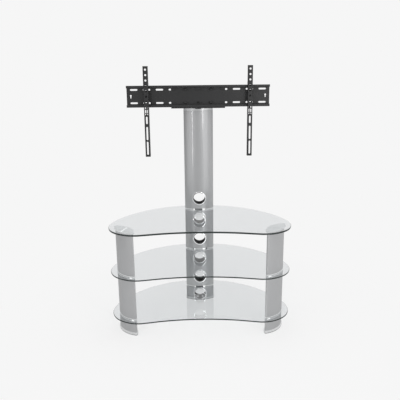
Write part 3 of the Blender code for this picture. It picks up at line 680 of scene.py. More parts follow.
class Effect:
    """A shader node group with named inputs and one output, for more than one material."""

    def __init__(self, name: str, inputs: dict[str, float], output: str) -> None:
        """Makes the group's sockets.

        Args:
            name: Name of the group.
            inputs: Names and starting values of its inputs.
            output: Name of its output.
        """
        self.tree = bpy.data.node_groups.new(name, "ShaderNodeTree")
        sockets = self.tree.interface
        for label, value in inputs.items():
            socket = sockets.new_socket(label, in_out="INPUT", socket_type="NodeSocketFloat")
            socket.default_value = value
        sockets.new_socket(output, in_out="OUTPUT", socket_type="NodeSocketFloat")
        self.output = output
        self.graph = Graph(self.tree)
        self.given = self.tree.nodes.new("NodeGroupInput").outputs
        self.sink = self.tree.nodes.new("NodeGroupOutput")

    def give(self, value: Socket) -> None:
        """Feeds the group's output."""
        self.graph.feed(self.sink, {self.output: value})

    def give_mask(self, mask: Socket, patches: Socket) -> None:
        """Feeds the group's output with a patchy mask that rises to Amount."""
        patchy = self.graph.math("MULTIPLY", mask, patches)
        self.give(self.graph.math("MULTIPLY", patchy, self.given["Amount"]))

    def use(self, graph: Graph, **values: object) -> Socket:
        """Places the group in a material with its own values and returns its output."""
        return graph.feed(graph.add("Group", node_tree=self.tree), values).outputs[self.output]


class ToneDrift(Effect):
    """Slow change of tone over a surface; its Value runs between Low and High."""

    def __init__(self) -> None:
        """Builds the group."""
        super().__init__("tone_drift", {"Scale": 6.0, "Low": 0.95, "High": 1.05}, "Value")
        graph, given = self.graph, self.given
        noise = graph.noise(graph.place(), given["Scale"], 3.0, 0.55)
        self.give(graph.spread(noise, NOISE_SPAN, (given["Low"], given["High"])))


class DieLines(Effect):
    """Fine upright lines that a die leaves on an extrusion; its Height runs from 0 to 1."""

    def __init__(self) -> None:
        """Builds the group."""
        super().__init__("die_lines", {"Fineness": 1400.0, "Stretch": 0.012}, "Height")
        graph, given = self.graph, self.given
        place = graph.split(graph.place())
        height = graph.math("MULTIPLY", place["Z"], given["Stretch"])
        joined = graph.add("CombineXYZ", {"X": place["X"], "Y": place["Y"], "Z": height})
        self.give(graph.noise(joined.outputs[0], given["Fineness"], 2.0))


class DimpledSkin(Effect):
    """Fine dimples of powder coat and moulded plastic; its Height runs from 0 to 1."""

    def __init__(self) -> None:
        """Builds the group."""
        super().__init__("dimpled_skin", {"Scale": 900.0}, "Height")
        place, scale = self.graph.place(), self.given["Scale"]
        noise = self.graph.noise(place, scale, 2.0, 0.6)
        cells = self.graph.add("TexVoronoi", {"Vector": place, "Scale": scale},
                               feature="SMOOTH_F1")
        self.give(self.graph.math("MULTIPLY_ADD", cells.outputs["Distance"], CELL_SHARE,
                                  noise))


class WornEdgeAndPaintedHighlight(Effect):
    """Edges that hands and tools rub, lightened partly as wear and partly as a painted highlight;
    its Mask is 0 on flat faces and up to Amount on edges.
    """

    def __init__(self) -> None:
        """Builds the group."""
        super().__init__("worn_edge", {"Radius": 0.0008, "Amount": 0.6}, "Mask")
        graph = self.graph
        soft = graph.add("Bevel", {"Radius": self.given["Radius"]}, samples=4).outputs[0]
        own = graph.add("NewGeometry").outputs["Normal"]
        likeness = graph.add("VectorMath", {0: soft, 1: own}, operation="DOT_PRODUCT")
        edge = graph.spread(likeness.outputs["Value"], EDGE_SPAN, FULL)
        noise = graph.noise(graph.place(), 160.0, 3.0)
        self.give_mask(edge, graph.spread(noise, (0.35, 0.6), (0.3, 1.0)))


class SettledDust(Effect):
    """Fine dust on faces that look up; its Mask runs from 0 to Amount."""

    def __init__(self) -> None:
        """Builds the group."""
        super().__init__("settled_dust", {"Scale": 60.0, "Amount": 0.2}, "Mask")
        graph = self.graph
        up = graph.split(graph.add("NewGeometry").outputs["Normal"])["Z"]
        noise = graph.noise(graph.place(), self.given["Scale"], 5.0, 0.7)
        patches = graph.spread(noise, (0.4, 0.7), (0.2, 1.0))
        self.give_mask(graph.spread(up, UPWARD_SPAN, FULL), patches)


class Effects:
    """Effects that more than one finish uses."""

    def __init__(self) -> None:
        """Builds every group."""
        self.drift = ToneDrift()
        self.die_lines = DieLines()
        self.skin = DimpledSkin()
        self.worn_edge = WornEdgeAndPaintedHighlight()
        self.dust = SettledDust()


def new_material(name: str) -> tuple[Material, Graph, Node]:
    """Makes a material with a Principled shader.

    Args:
        name: Name of the material.

    Returns:
        The material, its graph and its Principled node.
    """
    material = bpy.data.materials.new(name)
    material.use_nodes = True
    return material, Graph(material.node_tree), material.node_tree.nodes["Principled BSDF"]


@dataclass(frozen=True)
class Layer:
    """Rubbed edges, lightened partly as a painted highlight, or settled dust: its size, how far it
    covers and its colour.
    """

    size: float
    amount: float
    tint: Tint


@dataclass(frozen=True)
class Finish:
    """What the finishes share: a tone that drifts, rubbed edges that are partly a painted
    highlight, settled dust, a varied gloss.

    Its drift is given by its scale, its lowest and its highest tone, and its polish by how far
    the roughness goes below and above its own value.
    """

    name: str
    tint: Tint
    drift: Point
    roughness: float
    polish: Flat = (0.0, 0.0)
    metallic: float = 0.0
    wear_and_painted_highlight: Layer | None = None
    dust: Layer | None = None

    def make(self, effects: Effects) -> Material:
        """Builds the material.

        Args:
            effects: The shared node groups.

        Returns:
            The material.
        """
        material, graph, shader = new_material(self.name)
        colour = graph.toned(self.tint, self.tone(graph, effects))
        # Lighter edges: partly wear, partly a painted edge highlight.
        if self.wear_and_painted_highlight:
            wear_and_highlight_mask = effects.worn_edge.use(graph, Radius=self.wear_and_painted_highlight.size, Amount=self.wear_and_painted_highlight.amount)
            colour = graph.blended(wear_and_highlight_mask, colour, self.wear_and_painted_highlight.tint)
        if self.dust:
            dust = effects.dust.use(graph, Scale=self.dust.size, Amount=self.dust.amount)
            colour = graph.blended(dust, colour, self.dust.tint)
        graph.feed(shader, {"Base Color": colour, "Metallic": self.metallic})
        graph.feed(shader, self.surface(graph, effects))
        return material

    def tone(self, graph: Graph, effects: Effects) -> Socket:
        """Adds the value that the colour is multiplied by."""
        scale, low, high = self.drift
        return effects.drift.use(graph, Scale=scale, Low=low, High=high)

    def gloss(self) -> Flat:
        """Lowest and highest roughness over the surface."""
        return self.roughness + self.polish[0], self.roughness + self.polish[1]

    def surface(self, graph: Graph, effects: Effects) -> dict[str, object]:
        """Adds what the finish has of its own, by the names of the shader's inputs."""
        raise NotImplementedError


@dataclass(frozen=True)
class SilverLacquer(Finish):
    """Silver lacquer on aluminium extrusions: fine metallic flake under a clear coat."""

    name: str = "silver_lacquer"
    tint: Tint = Tint(0.368, 0.371, 0.377)
    drift: Point = (5.0, 0.975, 1.025)
    roughness: float = 0.38
    polish: Flat = (-0.03, 0.04)
    metallic: float = 0.45
    dust: Layer = Layer(70.0, 0.15, Tint(0.62, 0.62, 0.60))
    flake: float = 2600.0
    sparkle: Flat = (0.97, 1.03)
    sheen: Tint = grey(0.6)
    coat_facing: Flat = (0.0, 0.75)
    coat: Flat = (0.95, 0.04)
    coat_roughness: float = 0.05
    line_fineness: float = 1400.0
    line_stretch: float = 0.012
    line_strength: float = 0.25
    line_depth: float = 0.00002

    def tone(self, graph: Graph, effects: Effects) -> Socket:
        """Adds the flake's sparkle to the drift.

        Args:
            graph: The material's nodes.
            effects: The shared node groups.

        Returns:
            The value that the colour is multiplied by.
        """
        flake = effects.skin.use(graph, Scale=self.flake)
        sparkle = graph.spread(flake, SKIN_SPAN, self.sparkle)
        return graph.math("MULTIPLY", super().tone(graph, effects), sparkle)

    def surface(self, graph: Graph, effects: Effects) -> dict[str, object]:
        """Adds the die lines and the clear coat.

        Args:
            graph: The material's nodes.
            effects: The shared node groups.

        Returns:
            Values and sockets by the names of the shader's inputs.
        """
        lines = effects.die_lines.use(graph, Fineness=self.line_fineness,
                                      Stretch=self.line_stretch)
        facing = graph.add("LayerWeight", {"Blend": 0.5}).outputs["Facing"]
        return {"Roughness": graph.spread(lines, NOISE_SPAN, self.gloss()),
                "Specular Tint": self.sheen.rgba(),
                "Coat Weight": graph.spread(facing, self.coat_facing, self.coat),
                "Coat Roughness": self.coat_roughness,
                "Normal": graph.bump(lines, self.line_strength, self.line_depth)}


@dataclass(frozen=True)
class MouldedPlastic(Finish):
    """Moulded plastic of the caps and of the glass seats; its glow, where set, is painted light: a
    highlight or reflection that no lamp gives.
    """

    drift: Point = (14.0, 0.96, 1.04)
    roughness: float = 0.42
    polish: Flat = (-0.05, 0.06)
    wear_and_painted_highlight: Layer = Layer(0.0006, 0.25, grey(0.85))
    dust: Layer = Layer(90.0, 0.12, Tint(0.66, 0.65, 0.63))
    grain: float = 1300.0
    grain_strength: float = 0.3
    grain_depth: float = 0.00004
    # A glow here is painted light: a highlight or reflection that no lamp gives.
    painted_glow: float = 0.0

    def surface(self, graph: Graph, effects: Effects) -> dict[str, object]:
        """Adds the dimpled skin.

        Args:
            graph: The material's nodes.
            effects: The shared node groups.

        Returns:
            Values and sockets by the names of the shader's inputs.
        """
        skin = effects.skin.use(graph, Scale=self.grain)
        return {"Roughness": graph.spread(skin, SKIN_SPAN, self.gloss()),
                "Emission Strength": self.painted_glow,
                "Normal": graph.bump(skin, self.grain_strength, self.grain_depth)}


@dataclass(frozen=True)
class PowderCoat(MouldedPlastic):
    """Black powder coat of the screen bracket, dimpled as moulded plastic is."""

    name: str = "black_powder_coat"
    tint: Tint = Tint(0.0105, 0.0105, 0.0112)
    drift: Point = (9.0, 0.88, 1.12)
    polish: Flat = (-0.06, 0.08)
    wear_and_painted_highlight: Layer = Layer(0.0006, 0.5, Tint(0.050, 0.050, 0.052))
    dust: Layer = Layer(60.0, 0.10, Tint(0.22, 0.22, 0.21))
    grain: float = 1000.0
    grain_strength: float = 0.45
    grain_depth: float = 0.00008


@dataclass(frozen=True)
class ChromePlate(Finish):
    """Bright plating of the cable rings."""

    name: str = "ring_chrome"
    tint: Tint = Tint(0.95, 0.95, 0.96)
    drift: Point = (40.0, 0.96, 1.02)
    roughness: float = 0.07
    polish: Flat = (-0.02, 0.05)
    metallic: float = 1.0
    haze: float = 120.0

    def surface(self, graph: Graph, effects: Effects) -> dict[str, object]:
        """Adds the haze of the plating, by the names of the shader's inputs."""
        low, high = self.gloss()
        return {"Roughness": effects.drift.use(graph, Scale=self.haze, Low=low, High=high)}


@dataclass(frozen=True)
class ZincPlate(ChromePlate):
    """Zinc plating of rods, nuts, screws and springs, duller than chrome and rubbed at edges."""

    name: str = "zinc_plate"
    tint: Tint = Tint(0.56, 0.57, 0.58)
    drift: Point = (60.0, 0.85, 1.1)
    roughness: float = 0.33
    polish: Flat = (-0.06, 0.1)
    wear_and_painted_highlight: Layer = Layer(0.0004, 0.5, grey(0.75))
    haze: float = 220.0


@dataclass(frozen=True)
class PolishedEdge(Finish):
    """Polished edge of the glass: dark from outside, and lets the view out from inside."""

    name: str = "glass_edge"
    tint: Tint = Tint(0.012, 0.019, 0.018)
    drift: Point = (30.0, 0.85, 1.15)
    roughness: float = 0.12
    inner_cover: float = 0.12

    def surface(self, graph: Graph, effects: Effects) -> dict[str, object]:
        """Adds the cover, which is thin from inside.

        Args:
            graph: The material's nodes.
            effects: The shared node groups; not used.

        Returns:
            Values and sockets by the names of the shader's inputs.
        """
        back = graph.add("NewGeometry").outputs["Backfacing"]
        return {"Roughness": self.roughness,
                "Alpha": graph.spread(back, FULL, (1.0, self.inner_cover))}


@dataclass(frozen=True)
class ClearGlass:
    """Faces of the toughened glass: clear, with a faint cool tint."""

    name: str = "shelf_glass"
    tint: Tint = Tint(0.775, 0.790, 0.800)
    passing: Tint = Tint(0.96, 0.97, 0.97)
    index: float = 1.52

    def make(self) -> Material:
        """Builds the material, which lets the light that falls on the metal straight through.

        Returns:
            The material.
        """
        material, graph, shader = new_material(self.name)
        graph.feed(shader, {"Base Color": self.tint.rgba(), "Roughness": 0.0, "IOR": self.index,
                            "Transmission Weight": 1.0})
        path = graph.add("LightPath").outputs
        inside = graph.math("MODULO", path["Transmission Depth"], 2.0)
        gloss = graph.math("MULTIPLY", path["Is Glossy Ray"], path["Is Reflection Ray"])
        gloss = graph.math("MULTIPLY", gloss, graph.math("SUBTRACT", 1.0, inside))
        soft = graph.math("MAXIMUM", path["Is Diffuse Ray"], gloss)
        share = graph.math("MAXIMUM", path["Is Shadow Ray"], soft)
        graph.shown(share, shader, graph.add("BsdfTransparent", {"Color": self.passing.rgba()}))
        return material


class Palette:
    """Every finished material of the stand."""

    def __init__(self) -> None:
        """Builds the materials."""
        effects = Effects()
        # This white is the seats' own colour, and on the left crown's strip it is a painted
        # reflection.
        white_and_painted_glint = Tint(0.94, 0.94, 0.93)
        self.silver = SilverLacquer().make(effects)
        self.head_silver = SilverLacquer("head_lacquer", Tint(0.52, 0.525, 0.53)).make(effects)
        # Dark grey inner walls: painted shade inside the extrusions.
        self.painted_shade_inside = MouldedPlastic("bare_inside", grey(0.10), metallic=0.5).make(effects)
        self.trim = MouldedPlastic("silver_trim", Tint(0.62, 0.625, 0.63)).make(effects)
        self.foot_trim = MouldedPlastic("foot_trim", Tint(0.64, 0.645, 0.65), metallic=0.30,
                                        roughness=0.28).make(effects)
        # The seats glow: a painted highlight of the lamps on them.
        self.seat = MouldedPlastic("milky_seat", white_and_painted_glint, roughness=0.25, painted_glow=0.5).make(effects)
        # The strip's white and glow are a painted reflection.
        self.strip = MouldedPlastic("milky_strip", white_and_painted_glint, roughness=0.25, painted_glow=0.2).make(effects)
        # Near-black painted shade for the notch walls and the cable rings' bores and upper left
        # arc; on the foot caps it is the rubber pads' colour with painted contact shadow.
        self.painted_shade_and_rubber = MouldedPlastic("ring_liner", Tint(0.020, 0.021, 0.020),
                                    roughness=0.5).make(effects)
        self.chrome = ChromePlate().make(effects)
        self.black = PowderCoat().make(effects)
        self.zinc = ZincPlate().make(effects)
        self.glass = ClearGlass().make()
        self.glass_edge = PolishedEdge().make(effects)


# Glass shelves

# Half of the outline, from the middle of the rear to the middle of the front
SHELF_OUTLINE_SHARES = (
    (0.00, 1.000), (0.22, 0.980), (0.41, 0.929), (0.585, 0.844), (0.73, 0.738), (0.87, 0.595),
    (0.96, 0.450), (0.994, 0.350), (1.00, 0.250), (0.962, 0.147), (0.888, 0.069), (0.785, 0.016),
    (0.683, 0.000), (0.588, 0.012), (0.40, 0.045), (0.20, 0.066), (0.00, 0.072),
)
RING_HOLE_SIDES = 72
ROD_HOLE = 0.0092
DUCT = (0.076, 0.020)
COLUMN_RODS = ("column_tie_rod_left", "column_tie_rod_right")
LEG_RODS = ("left_leg_tie_rod", "right_leg_tie_rod")


@dataclass(frozen=True)
class GlassShelf:
    """One kidney-shaped sheet with polished edges and its holes for rods and cables."""

    palette: Palette
    node: str
    rods: Sequence[str] = COLUMN_RODS + LEG_RODS
    width: float = 0.850
    depth: float = 0.482
    span_steps: int = 9
    edge_radius: float = 0.0016
    edge_steps: int = 4
    rod_sides: int = 28
    duct_steps: int = 10
    smooth_to: float = 40.0

    def outline(self) -> list[Flat]:
        """Draws the closed curve through the mirrored shares.

        Returns:
            The points in order.
        """
        half = [(x * self.width / 2, (y - 1 / 2) * self.depth) for x, y in SHELF_OUTLINE_SHARES]
        knots = [Vector(point) for point in half + [(-x, y) for x, y in reversed(half[1:-1])]]
        points = []
        for index, knot in enumerate(knots):
            before = knots[index - 1]
            after = knots[(index + 1) % len(knots)]
            beyond = knots[(index + 2) % len(knots)]
            for step in range(self.span_steps):
                share = step / self.span_steps
                cube, square = share ** 3, share ** 2
                point = (knot * (2 * cube - 3 * square + 1)
                         + (after - before) / 2 * (cube - 2 * square + share)
                         + after * (3 * square - 2 * cube) + (beyond - knot) / 2 * (cube - square))
                points.append((point.x, point.y))
        return points

    @staticmethod
    def drawn_in(outline: Sequence[Flat], inset: float) -> list[Flat]:
        """Moves an outline inwards.

        Args:
            outline: Points in clockwise order, seen from above.
            inset: How far each point moves.

        Returns:
            The moved points.
        """
        moved = []
        for index, (x, y) in enumerate(outline):
            before = Vector(outline[index - 1])
            after = Vector(outline[(index + 1) % len(outline)])
            along = (after - before).normalized()
            moved.append((x + along.y * inset, y - along.x * inset))
        return moved

    def build(self) -> None:
        """Makes the sheet."""
        low, high = reach_of(self.node, 2)
        outline = self.outline()
        loops = []
        for end, rising in ((low, False), (high, True)):
            rows = edge_rows(0.0, end, self.edge_radius, rising, self.edge_steps)
            loops += [level_loop(self.drawn_in(outline, inset), height) for inset, height in rows]
        sheet = raw_piece(self.node + "_glass", Form().skin(loops))
        combine(sheet, self.holes(low - OVERRUN, high + OVERRUN))
        shade_by_angle(sheet, self.smooth_to, lies_level)
        deliver(sheet, self.node, Slot.GLASS, (self.palette.glass, self.palette.glass_edge),
                lambda normal, _: 0 if lies_level(normal) else 1)

    def holes(self, bottom: float, top: float) -> Form:
        """Makes the cutter for the cable slot and the rod holes.

        Args:
            bottom: Lower end of the cutter.
            top: Upper end of the cutter.

        Returns:
            The cutter.
        """
        slot = stadium(*DUCT, self.duct_steps, (0.0, middle_of("column_mast", 1)))
        form = Form().bar(level_loop, slot, bottom, top)
        for rod in self.rods:
            middle = (middle_of(rod, 0), middle_of(rod, 1))
            ring = circle(ROD_HOLE / 2, self.rod_sides, middle)
            form.bar(level_loop, ring, bottom, top)
        return form


# Column and legs

@dataclass(frozen=True)
class Extrusion:
    """Oval aluminium extrusion: two long arcs joined by round tips."""

    width: float = 0.146
    depth: float = 0.056
    tip_radius: float = 0.005
    wall: float = 0.0025
    arc_steps: int = 30
    tip_steps: int = 9
    end_edge: float = 0.0003
    curved: float = 0.9

    def arc(self) -> Point:
        """Works out the arcs.

        Returns:
            The long faces' radius, how far their centres lie past the middle, and where the tips'
            centres are.
        """
        tip = self.width / 2 - self.tip_radius
        rise = self.depth / 2 - self.tip_radius
        radius = (tip ** 2 + (self.depth / 2) ** 2 - self.tip_radius ** 2) / (2 * rise)
        return radius, radius - self.depth / 2, tip

    def face_depth(self, x: float) -> float:
        """How far the face lies from the middle plane at a place across it."""
        radius, past, _ = self.arc()
        return sqrt(radius ** 2 - x ** 2) - past

    def outline(self, inset: float = 0.0) -> list[Flat]:
        """Draws the outline moved in by an inset.

        Args:
            inset: How far it is moved in; outwards if negative.

        Returns:
            The points in order.
        """
        radius, past, tip = self.arc()
        half_turn = atan2(tip, past)
        points = []
        for side in (1, -1):
            for step in range(self.arc_steps + 1):
                turn = half_turn * (2 * step / self.arc_steps - 1)
                reach = side * (radius - inset)
                points.append((reach * sin(turn), side * past - reach * cos(turn)))
            for step in range(1, self.tip_steps):
                turn = (QUARTER - half_turn) * (2 * step / self.tip_steps - 1)
                reach = side * (self.tip_radius - inset)
                points.append((side * tip + reach * cos(turn), reach * sin(turn)))
        return points

    def outward(self, x: float, y: float) -> Vector:
        """Works out the true normal of the oval at a point on it.

        Args:
            x: Place across.
            y: Place in depth.

        Returns:
            The unit normal, which points out.
        """
        radius, past, tip = self.arc()
        if abs(x) > radius * sin(atan2(tip, past)):
            return Vector((x - copysign(tip, x), y, 0.0)).normalized()
        return Vector((x, y - (past if y < 0 else -past), 0.0)).normalized()

    def rule(self, place: Vector, normal: Vector) -> Vector:
        """Gives curved faces the oval's true normal and leaves the others flat.

        Args:
            place: Place of a face corner.
            normal: The face's own normal.

        Returns:
            The normal for that corner.
        """
        outward = self.outward(place.x, place.y)
        share = normal.dot(outward)
        if abs(share) > self.curved:
            return outward if share > 0 else -outward
        return normal.copy()

    def inside(self, normal: Vector, middle: Vector) -> int:
        """Tells the inner wall, slot 1, which is dark grey as painted shade, from the lacquered
        outside, slot 0.
        """
        return 1 if normal.dot(self.outward(middle.x, middle.y)) < -0.5 else 0

    def tube(self, low: float, high: float) -> Form:
        """Makes a length of the hollow extrusion with its outer end edges broken.

        Args:
            low: Lower end.
            high: Upper end.

        Returns:
            The form.
        """
        edge, wall = self.end_edge, self.wall
        rows = ((edge, low), (0.0, low + edge), (0.0, high - edge), (edge, high), (wall, high),
                (wall, low))
        loops = [level_loop(self.outline(inset), height) for inset, height in rows]
        return Form().skin(loops, closed=True)

    def plate(self, rows: Sequence[Flat]) -> Form:
        """Makes a solid of the oval from rows of inset and height."""
        return Form().skin([level_loop(self.outline(inset), height) for inset, height in rows])


@dataclass(frozen=True)
class Post:
    """What the column and the legs share: lengths of one extrusion, held by tie rods."""

    palette: Palette
    extrusion: Extrusion = Extrusion()
    rods: Sequence[str] = COLUMN_RODS
    rod_sides: int = 24
    plug: float = 0.004
    pad_height: float = 0.0022
    pad_edge: float = 0.0006
    rim_edge: float = 0.0010

    def spot(self) -> Spot:
        """Place and turn of the post."""
        return Spot(middle_of("column_mast", 0), middle_of("column_mast", 1))

    def rod_holes(self, form: Form, low: float, high: float) -> Form:
        """Adds the rod holes to a cutter.

        Args:
            form: The cutter.
            low: Lower end of the holes.
            high: Upper end of the holes.

        Returns:
            The cutter.
        """
        for node in self.rods:
            middle = (middle_of(node, 0) - self.spot().x, 0.0)
            ring = circle(ROD_HOLE / 2, self.rod_sides, middle)
            form.bar(level_loop, ring, low, high)
        return form

    def hand_over(self, piece: Piece, node: str, slot: Slot,
                  materials: Sequence[Material], rule: SlotRule | None = None) -> None:
        """Shades a piece by the oval's normals and delivers it to the post's place."""
        shade_by_rule(piece, self.extrusion.rule)
        deliver(piece, node, slot, materials, rule, spot=self.spot())

    def build_section(self, node: str, holes: Sequence[Form] = ()) -> None:
        """Makes one length of the extrusion.

        Args:
            node: CAD node that it stands for.
            holes: Cutters for the holes in it.
        """
        section = raw_piece(node + "_tube", self.extrusion.tube(*reach_of(node, 2)))
        for hole in holes:
            combine(section, hole)
        # The inner wall takes the dark grey painted shade.
        finishes = (self.palette.silver, self.palette.painted_shade_inside)
        self.hand_over(section, node, Slot.SILVER, finishes, self.extrusion.inside)

    def is_pad(self, _: Vector, middle: Vector) -> int:
        """Tells the dark pad on the floor, slot 1, from the foot cap, slot 0; the pad's near-black
        is partly rubber and partly painted contact shadow.
        """
        return 1 if middle.z < self.pad_height else 0


@dataclass(frozen=True)
class EndCap:
    """Cap on an extrusion's end, with small notches in its front, whose walls carry near-black
    painted shade, and white seats for the glass, whose glow is a painted highlight.
    """

    post: Post
    notches: Sequence[Flat] = ()
    seats: Sequence[Flat] = ()
    thickness: float = 0.0047
    edge: float = 0.0006
    notch_height: float = 0.0047
    notch_depth: float = 0.009
    notch_round: float = 0.0012
    seat_round: float = 0.0010
    round_steps: int = 3

    def form(self, plate: float, upward: bool) -> Form:
        """Makes the cap without its notches.

        Args:
            plate: Height of the face that meets the glass.
            upward: Whether the cap stands above the glass.

        Returns:
            The form.
        """
        sign = 1 if upward else -1
        seat = plate + sign * self.thickness
        tip = seat + sign * (GAP + self.post.plug)
        inner = self.post.extrusion.wall + GAP
        rows = edge_rows(0.0, plate, self.edge, not upward)
        if upward:
            return self.post.extrusion.plate([*rows, (0.0, seat), (inner, seat), (inner, tip)])
        return self.post.extrusion.plate([(inner, tip), (inner, seat), (0.0, seat), *rows])

    def recess(self, span: Flat, play: float, radius: float) -> list[Flat]:
        """Draws a notch or the seat in it.

        Args:
            span: Its two sides across the cap.
            play: How much smaller the seat is than the notch; zero for the notch.
            radius: Radius of its corners.

        Returns:
            The outline.
        """
        oval = self.post.extrusion
        rear = self.notch_depth - oval.face_depth(sum(span) / 2) - play
        if play == 0:
            front = [-oval.depth / 2 - OVERRUN] * 2
        else:
            front = [-oval.face_depth(x) - GAP / 2 for x in span]
        left, right = span[0] + play, span[1] - play
        corners = [(left, front[0], 0.0), (right, front[1], 0.0), (right, rear, radius),
                   (left, rear, radius)]
        return rounded(corners, self.round_steps)

    def build(self, node: str, cutters: Form) -> None:
        """Makes the cap.

        Args:
            node: CAD node that it stands for; a bottom cap stands above the glass.
            cutters: Cutter for its rod holes and cable slot.
        """
        upward = node.endswith("bottom_cap")
        sign = 1 if upward else -1
        plate = reach_of(node, 2)[0 if upward else 1]
        cap = raw_piece(node + "_cap", self.form(plate, upward))
        low, high = sorted((plate - sign * OVERRUN, plate + sign * self.notch_height))
        notches = Form()
        for span in self.notches:
            notches.bar(level_loop, self.recess(span, 0.0, self.notch_round), low, high)
        if self.notches:
            combine(cap, notches)
        combine(cap, cutters)
        low, high = sorted((plate, plate + sign * (self.notch_height - GAP / 2)))
        for span in self.seats:
            outline = self.recess(span, GAP / 2, self.seat_round)
            attach(cap, Form().bar(level_loop, outline, low, high), 1)
        # Faces lining the notches take the near-black painted shade.
        for face in cap.data.polygons:
            if face.material_index == 0 and self.is_shaded(face.center, plate, sign):
                face.material_index = 2
        palette = self.post.palette
        self.post.hand_over(cap, node, Slot.TRIM, (palette.trim, palette.seat, palette.painted_shade_and_rubber))

    def is_shaded(self, middle: Vector, plate: float, sign: int) -> bool:
        """Says whether a face lines one of the notches, whose walls get near-black painted shade.

        Args:
            middle: Middle of the face.
            plate: Height of the face that meets the glass.
            sign: 1 for a cap above the glass, -1 for one below it.

        Returns:
            Whether it does.
        """
        if not GAP < sign * (middle.z - plate) < self.notch_height + GAP / 2:
            return False
        depth = self.post.extrusion.face_depth(middle.x) + middle.y
        return any(low - GAP < middle.x < high + GAP and GAP < depth < self.notch_depth + GAP
                   for low, high in self.notches)


@dataclass(frozen=True)
class CableRing:
    """Bright ring with a rounded flange on the column's face, and a collar in the hole; its bore
    and an arc at its upper left are near-black painted shade.
    """

    column: Post
    radius: float = 0.0350
    bore: float = 0.0293
    proud: float = 0.0030
    collar_wall: float = 0.0018
    collar_reach: float = 0.0050
    collar_round: float = 0.0006
    outer_round: float = 0.0020
    inner_round: float = 0.0016
    shaded_share: float = 0.6
    lip: float = 0.0028
    shade_arc_middle: float = -22.0
    shade_arc_half: float = 58.0
    sides: int = 80
    round_steps: int = 5
    smooth_to: float = 40.0

    def build(self, node: str) -> None:
        """Makes the ring.

        Args:
            node: CAD node that it stands for.
        """
        height = middle_of(node, 2)
        inside = -self.column.extrusion.wall - self.collar_reach
        collar = self.bore + self.collar_wall
        corners = [(self.radius, GAP, 0.0), (self.radius, self.proud, self.outer_round),
                   (self.bore + self.lip, self.proud, 0.0),
                   (self.bore, self.proud, self.inner_round),
                   (self.bore, inside, self.collar_round), (collar, inside, self.collar_round),
                   (collar, GAP, 0.0)]
        loops = []
        for radius, proud in rounded(corners, self.round_steps):
            places = circle(radius, self.sides, (0.0, height))
            loops.append([(x, -self.column.extrusion.face_depth(x) - proud, z)
                          for x, z in places])
        ring = raw_piece(node + "_chrome", Form().skin(loops, closed=True))
        shade_by_angle(ring, self.smooth_to)

        def painted_shade_and_rubber(_: Vector, middle: Vector) -> int:
            """Tells the near-black painted shade, which reaches further at the upper left, from
            the bright ring.

            Args:
                _: Normal of a face; not used.
                middle: Middle of the face.

            Returns:
                1 for the painted shade and 0 for the ring.
            """
            across, rise = middle.x, middle.z - height
            away = abs(degrees(atan2(across, rise)) - self.shade_arc_middle)
            shade_reach = self.lip if away < self.shade_arc_half else self.inner_round * self.shaded_share
            return 1 if hypot(across, rise) < self.bore + shade_reach else 0

        palette = self.column.palette
        deliver(ring, node, Slot.CHROME, (palette.chrome, palette.painted_shade_and_rubber), painted_shade_and_rubber,
                spot=self.column.spot())


